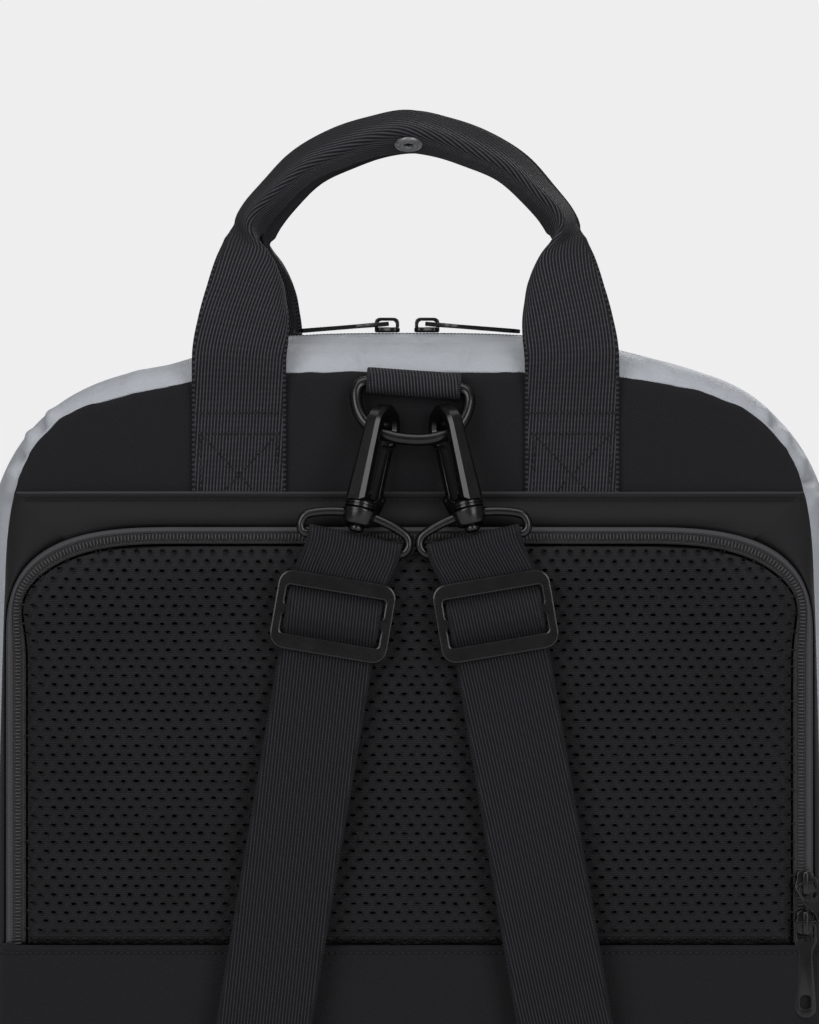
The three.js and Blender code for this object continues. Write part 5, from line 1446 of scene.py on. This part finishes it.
ear_base = [(2, EAR_LOW), (HOOK_GATE_U - 1, EAR_LOW), (HOOK_GATE_U + 1.2, EAR_FLOOR), (4, EAR_FLOOR)]
cheek_y = EAR_THICK / 2 - EAR_CHEEK / 2
foot_arc = np.linspace(np.pi, 2 * np.pi, 14)
gate_outline = arc_points(GATE_HALF, foot_arc)
gate_outline += [(GATE_HALF, GATE_LENGTH - 0.1), (-GATE_HALF, GATE_LENGTH - 0.9)]
pin_hole = arc_points(GATE_PIN, np.linspace(0, 2 * np.pi, 16, endpoint=False))
eye_right = [(x, 0, z) for x, z in EYE_SHAPE] + [(10, 0, -BAR_TO_HUB)]
eye_left = [(-x, 0, z) for x, _, z in eye_right[::-1]]
eye_line = smooth_line(eye_right + eye_left, 150, closed=True)
hub_lean = turn_by(-HOOK_LEAN, "X")
pin_place = Matrix.Translation((HOOK_GATE_U, 0, GATE_PIVOT_Z)) @ turn_by(90, "X")
for side, label in ((-1, "left"), (1, "right")):
    hub = strap_frames[side] @ Matrix.Translation((-side * EYE_SKEW, -EYE_OUT, EYE_BAR_Z + BAR_TO_HUB))
    eye_turn = turn_by(-side * EYE_TILT, "Y")
    eye_forms = [rod_form(eye_line, EYE_WIRE / 2), (*turned_form(HUB_PROFILE), hub_lean)]
    metal_piece(f"{label}_swivel_eye", eye_forms, hub @ eye_turn, f"{label}_hook_eye", "bag")
    turn_z = HOOK_TURN if side < 0 else 180 - HOOK_TURN
    hook = hub @ turn_by(-side * (HOOK_TILT - STRAP_TILT), "Y") @ hub_lean @ turn_by(turn_z, "Z")
    ear = plate_form(ear_outline, [], EAR_CHEEK, 0.25, upright=True)
    hook_forms = [
        (hook_points, hook_faces),
        plate_form(ear_base, [], EAR_THICK, 0.3, upright=True),
        *[(*ear, Matrix.Translation((0, cheek, 0))) for cheek in (-cheek_y, cheek_y)],
        *[turned_form(profile) for profile in (COLLAR_PROFILE, STEM_PROFILE, RIVET_PROFILE)],
        (*turned_form(PIN_PROFILE, 14), pin_place),
    ]
    metal_piece(f"{label}_snap_hook", hook_forms, hook, f"{label}_hook_body", f"hook_{label}", sharp=30)
    gate_at = hook @ Matrix.Translation((HOOK_GATE_U, 0, GATE_PIVOT_Z))
    gate_form = plate_form(gate_outline, [pin_hole], GATE_THICK, 0.4, upright=True)
    metal_piece(f"{label}_snap_gate", [gate_form], gate_at, f"{label}_hook_gate", f"gate_{label}")

# Stitching
# Black polyester thread: along the flap's fold and the lower panel's top edge, and in lines and
# crossed boxes that hold the handles and the straps.
STITCH_PITCH, STITCH_LENGTH, STITCH_WIDTH, STITCH_HEIGHT = 2.6, 2.3, 0.95, 0.6
BOX_HALF, BOX_TOP, BOX_FOOT, CROSS_LINE, CROSS_HALF = 15.4, 410.4, 377.6, 418.8, 17.5
FAR_BOX_TOP, FAR_BOX_FOOT = 372.0, 334.0
HANDLE_FACE = SEAM_Y - NEAR_FEET[-1, 1] - WEBBING_THICK / 2

thread = Finish("thread", (0.012, 0.012, 0.013), 0.6, specular=0.3)
thread_drift = thread.cloud(900.0)
thread.colour(thread_drift, (0.0015, 0.0015, 0.002), (0.007, 0.007, 0.008))
thread.relief(thread_drift, 0.00005)


def straight(start, end):
    return np.linspace(start, end, max(2, int(np.linalg.norm(np.subtract(end, start)) / 2)))


def crossed_box(x, face, top, foot):
    """Lines of a sewn box with a cross in it, on a face at a constant depth."""
    left, right = x - BOX_HALF, x + BOX_HALF
    corners = [(left, face, top), (right, face, top), (right, face, foot), (left, face, foot)]
    pairs = [(0, 1), (1, 2), (2, 3), (3, 0), (0, 2), (1, 3)]
    return [straight(corners[a], corners[b]) for a, b in pairs]


def stitches(name, lines, out=(0, -1, 0)):
    """Rows of thread along lines, on faces that all look one way."""
    sizes = (STITCH_PITCH, STITCH_LENGTH, STITCH_WIDTH, STITCH_HEIGHT)
    beads(name, lines, [out] * len(lines), sizes, thread, "webbing")


flap_stitch = flap_front[STITCH_ROW][on_top]
lower_row = int(np.argmin(np.abs(lower_z - LOWER_STITCH)))
lower_stitch = lower_front[lower_row][np.abs(lower_share) < 0.985]
stitches("panel_stitches", [line - (0, 0.1, 0) for line in (flap_stitch, lower_stitch)])
near_stitches, far_stitches = [], []
for sign in (-1, 1):
    foot_x = NEAR_HANDLE_X + sign * LEG_X
    cross_ends = [(foot_x + end, HANDLE_FACE, CROSS_LINE) for end in (-CROSS_HALF, CROSS_HALF)]
    near_stitches.append(straight(*cross_ends))
    near_stitches += crossed_box(foot_x, HANDLE_FACE, BOX_TOP, BOX_FOOT)
    for line in crossed_box(FAR_HANDLE_X + sign * LEG_X, 0.0, FAR_BOX_TOP, FAR_BOX_FOOT):
        out = np.interp(line[:, 2], FAR_FEET[:, 0], FAR_FEET[:, 1])
        line[:, 1] = SEAM_Y - out + WEBBING_THICK / 2
        far_stitches.append(line)
stitches("near_handle_stitches", near_stitches)
stitches("far_handle_stitches", far_stitches, (0, 1, 0))
strap_stitches = []
for strap in strap_feet:
    strap_lines = [strap[row, 3:-3] for row in (4, 11)] + [strap[4:12, column] for column in (4, -5)]
    strap_stitches += [line - (0, STRAP_THICK / 2, 0) for line in strap_lines]
stitches("strap_stitches", strap_stitches)
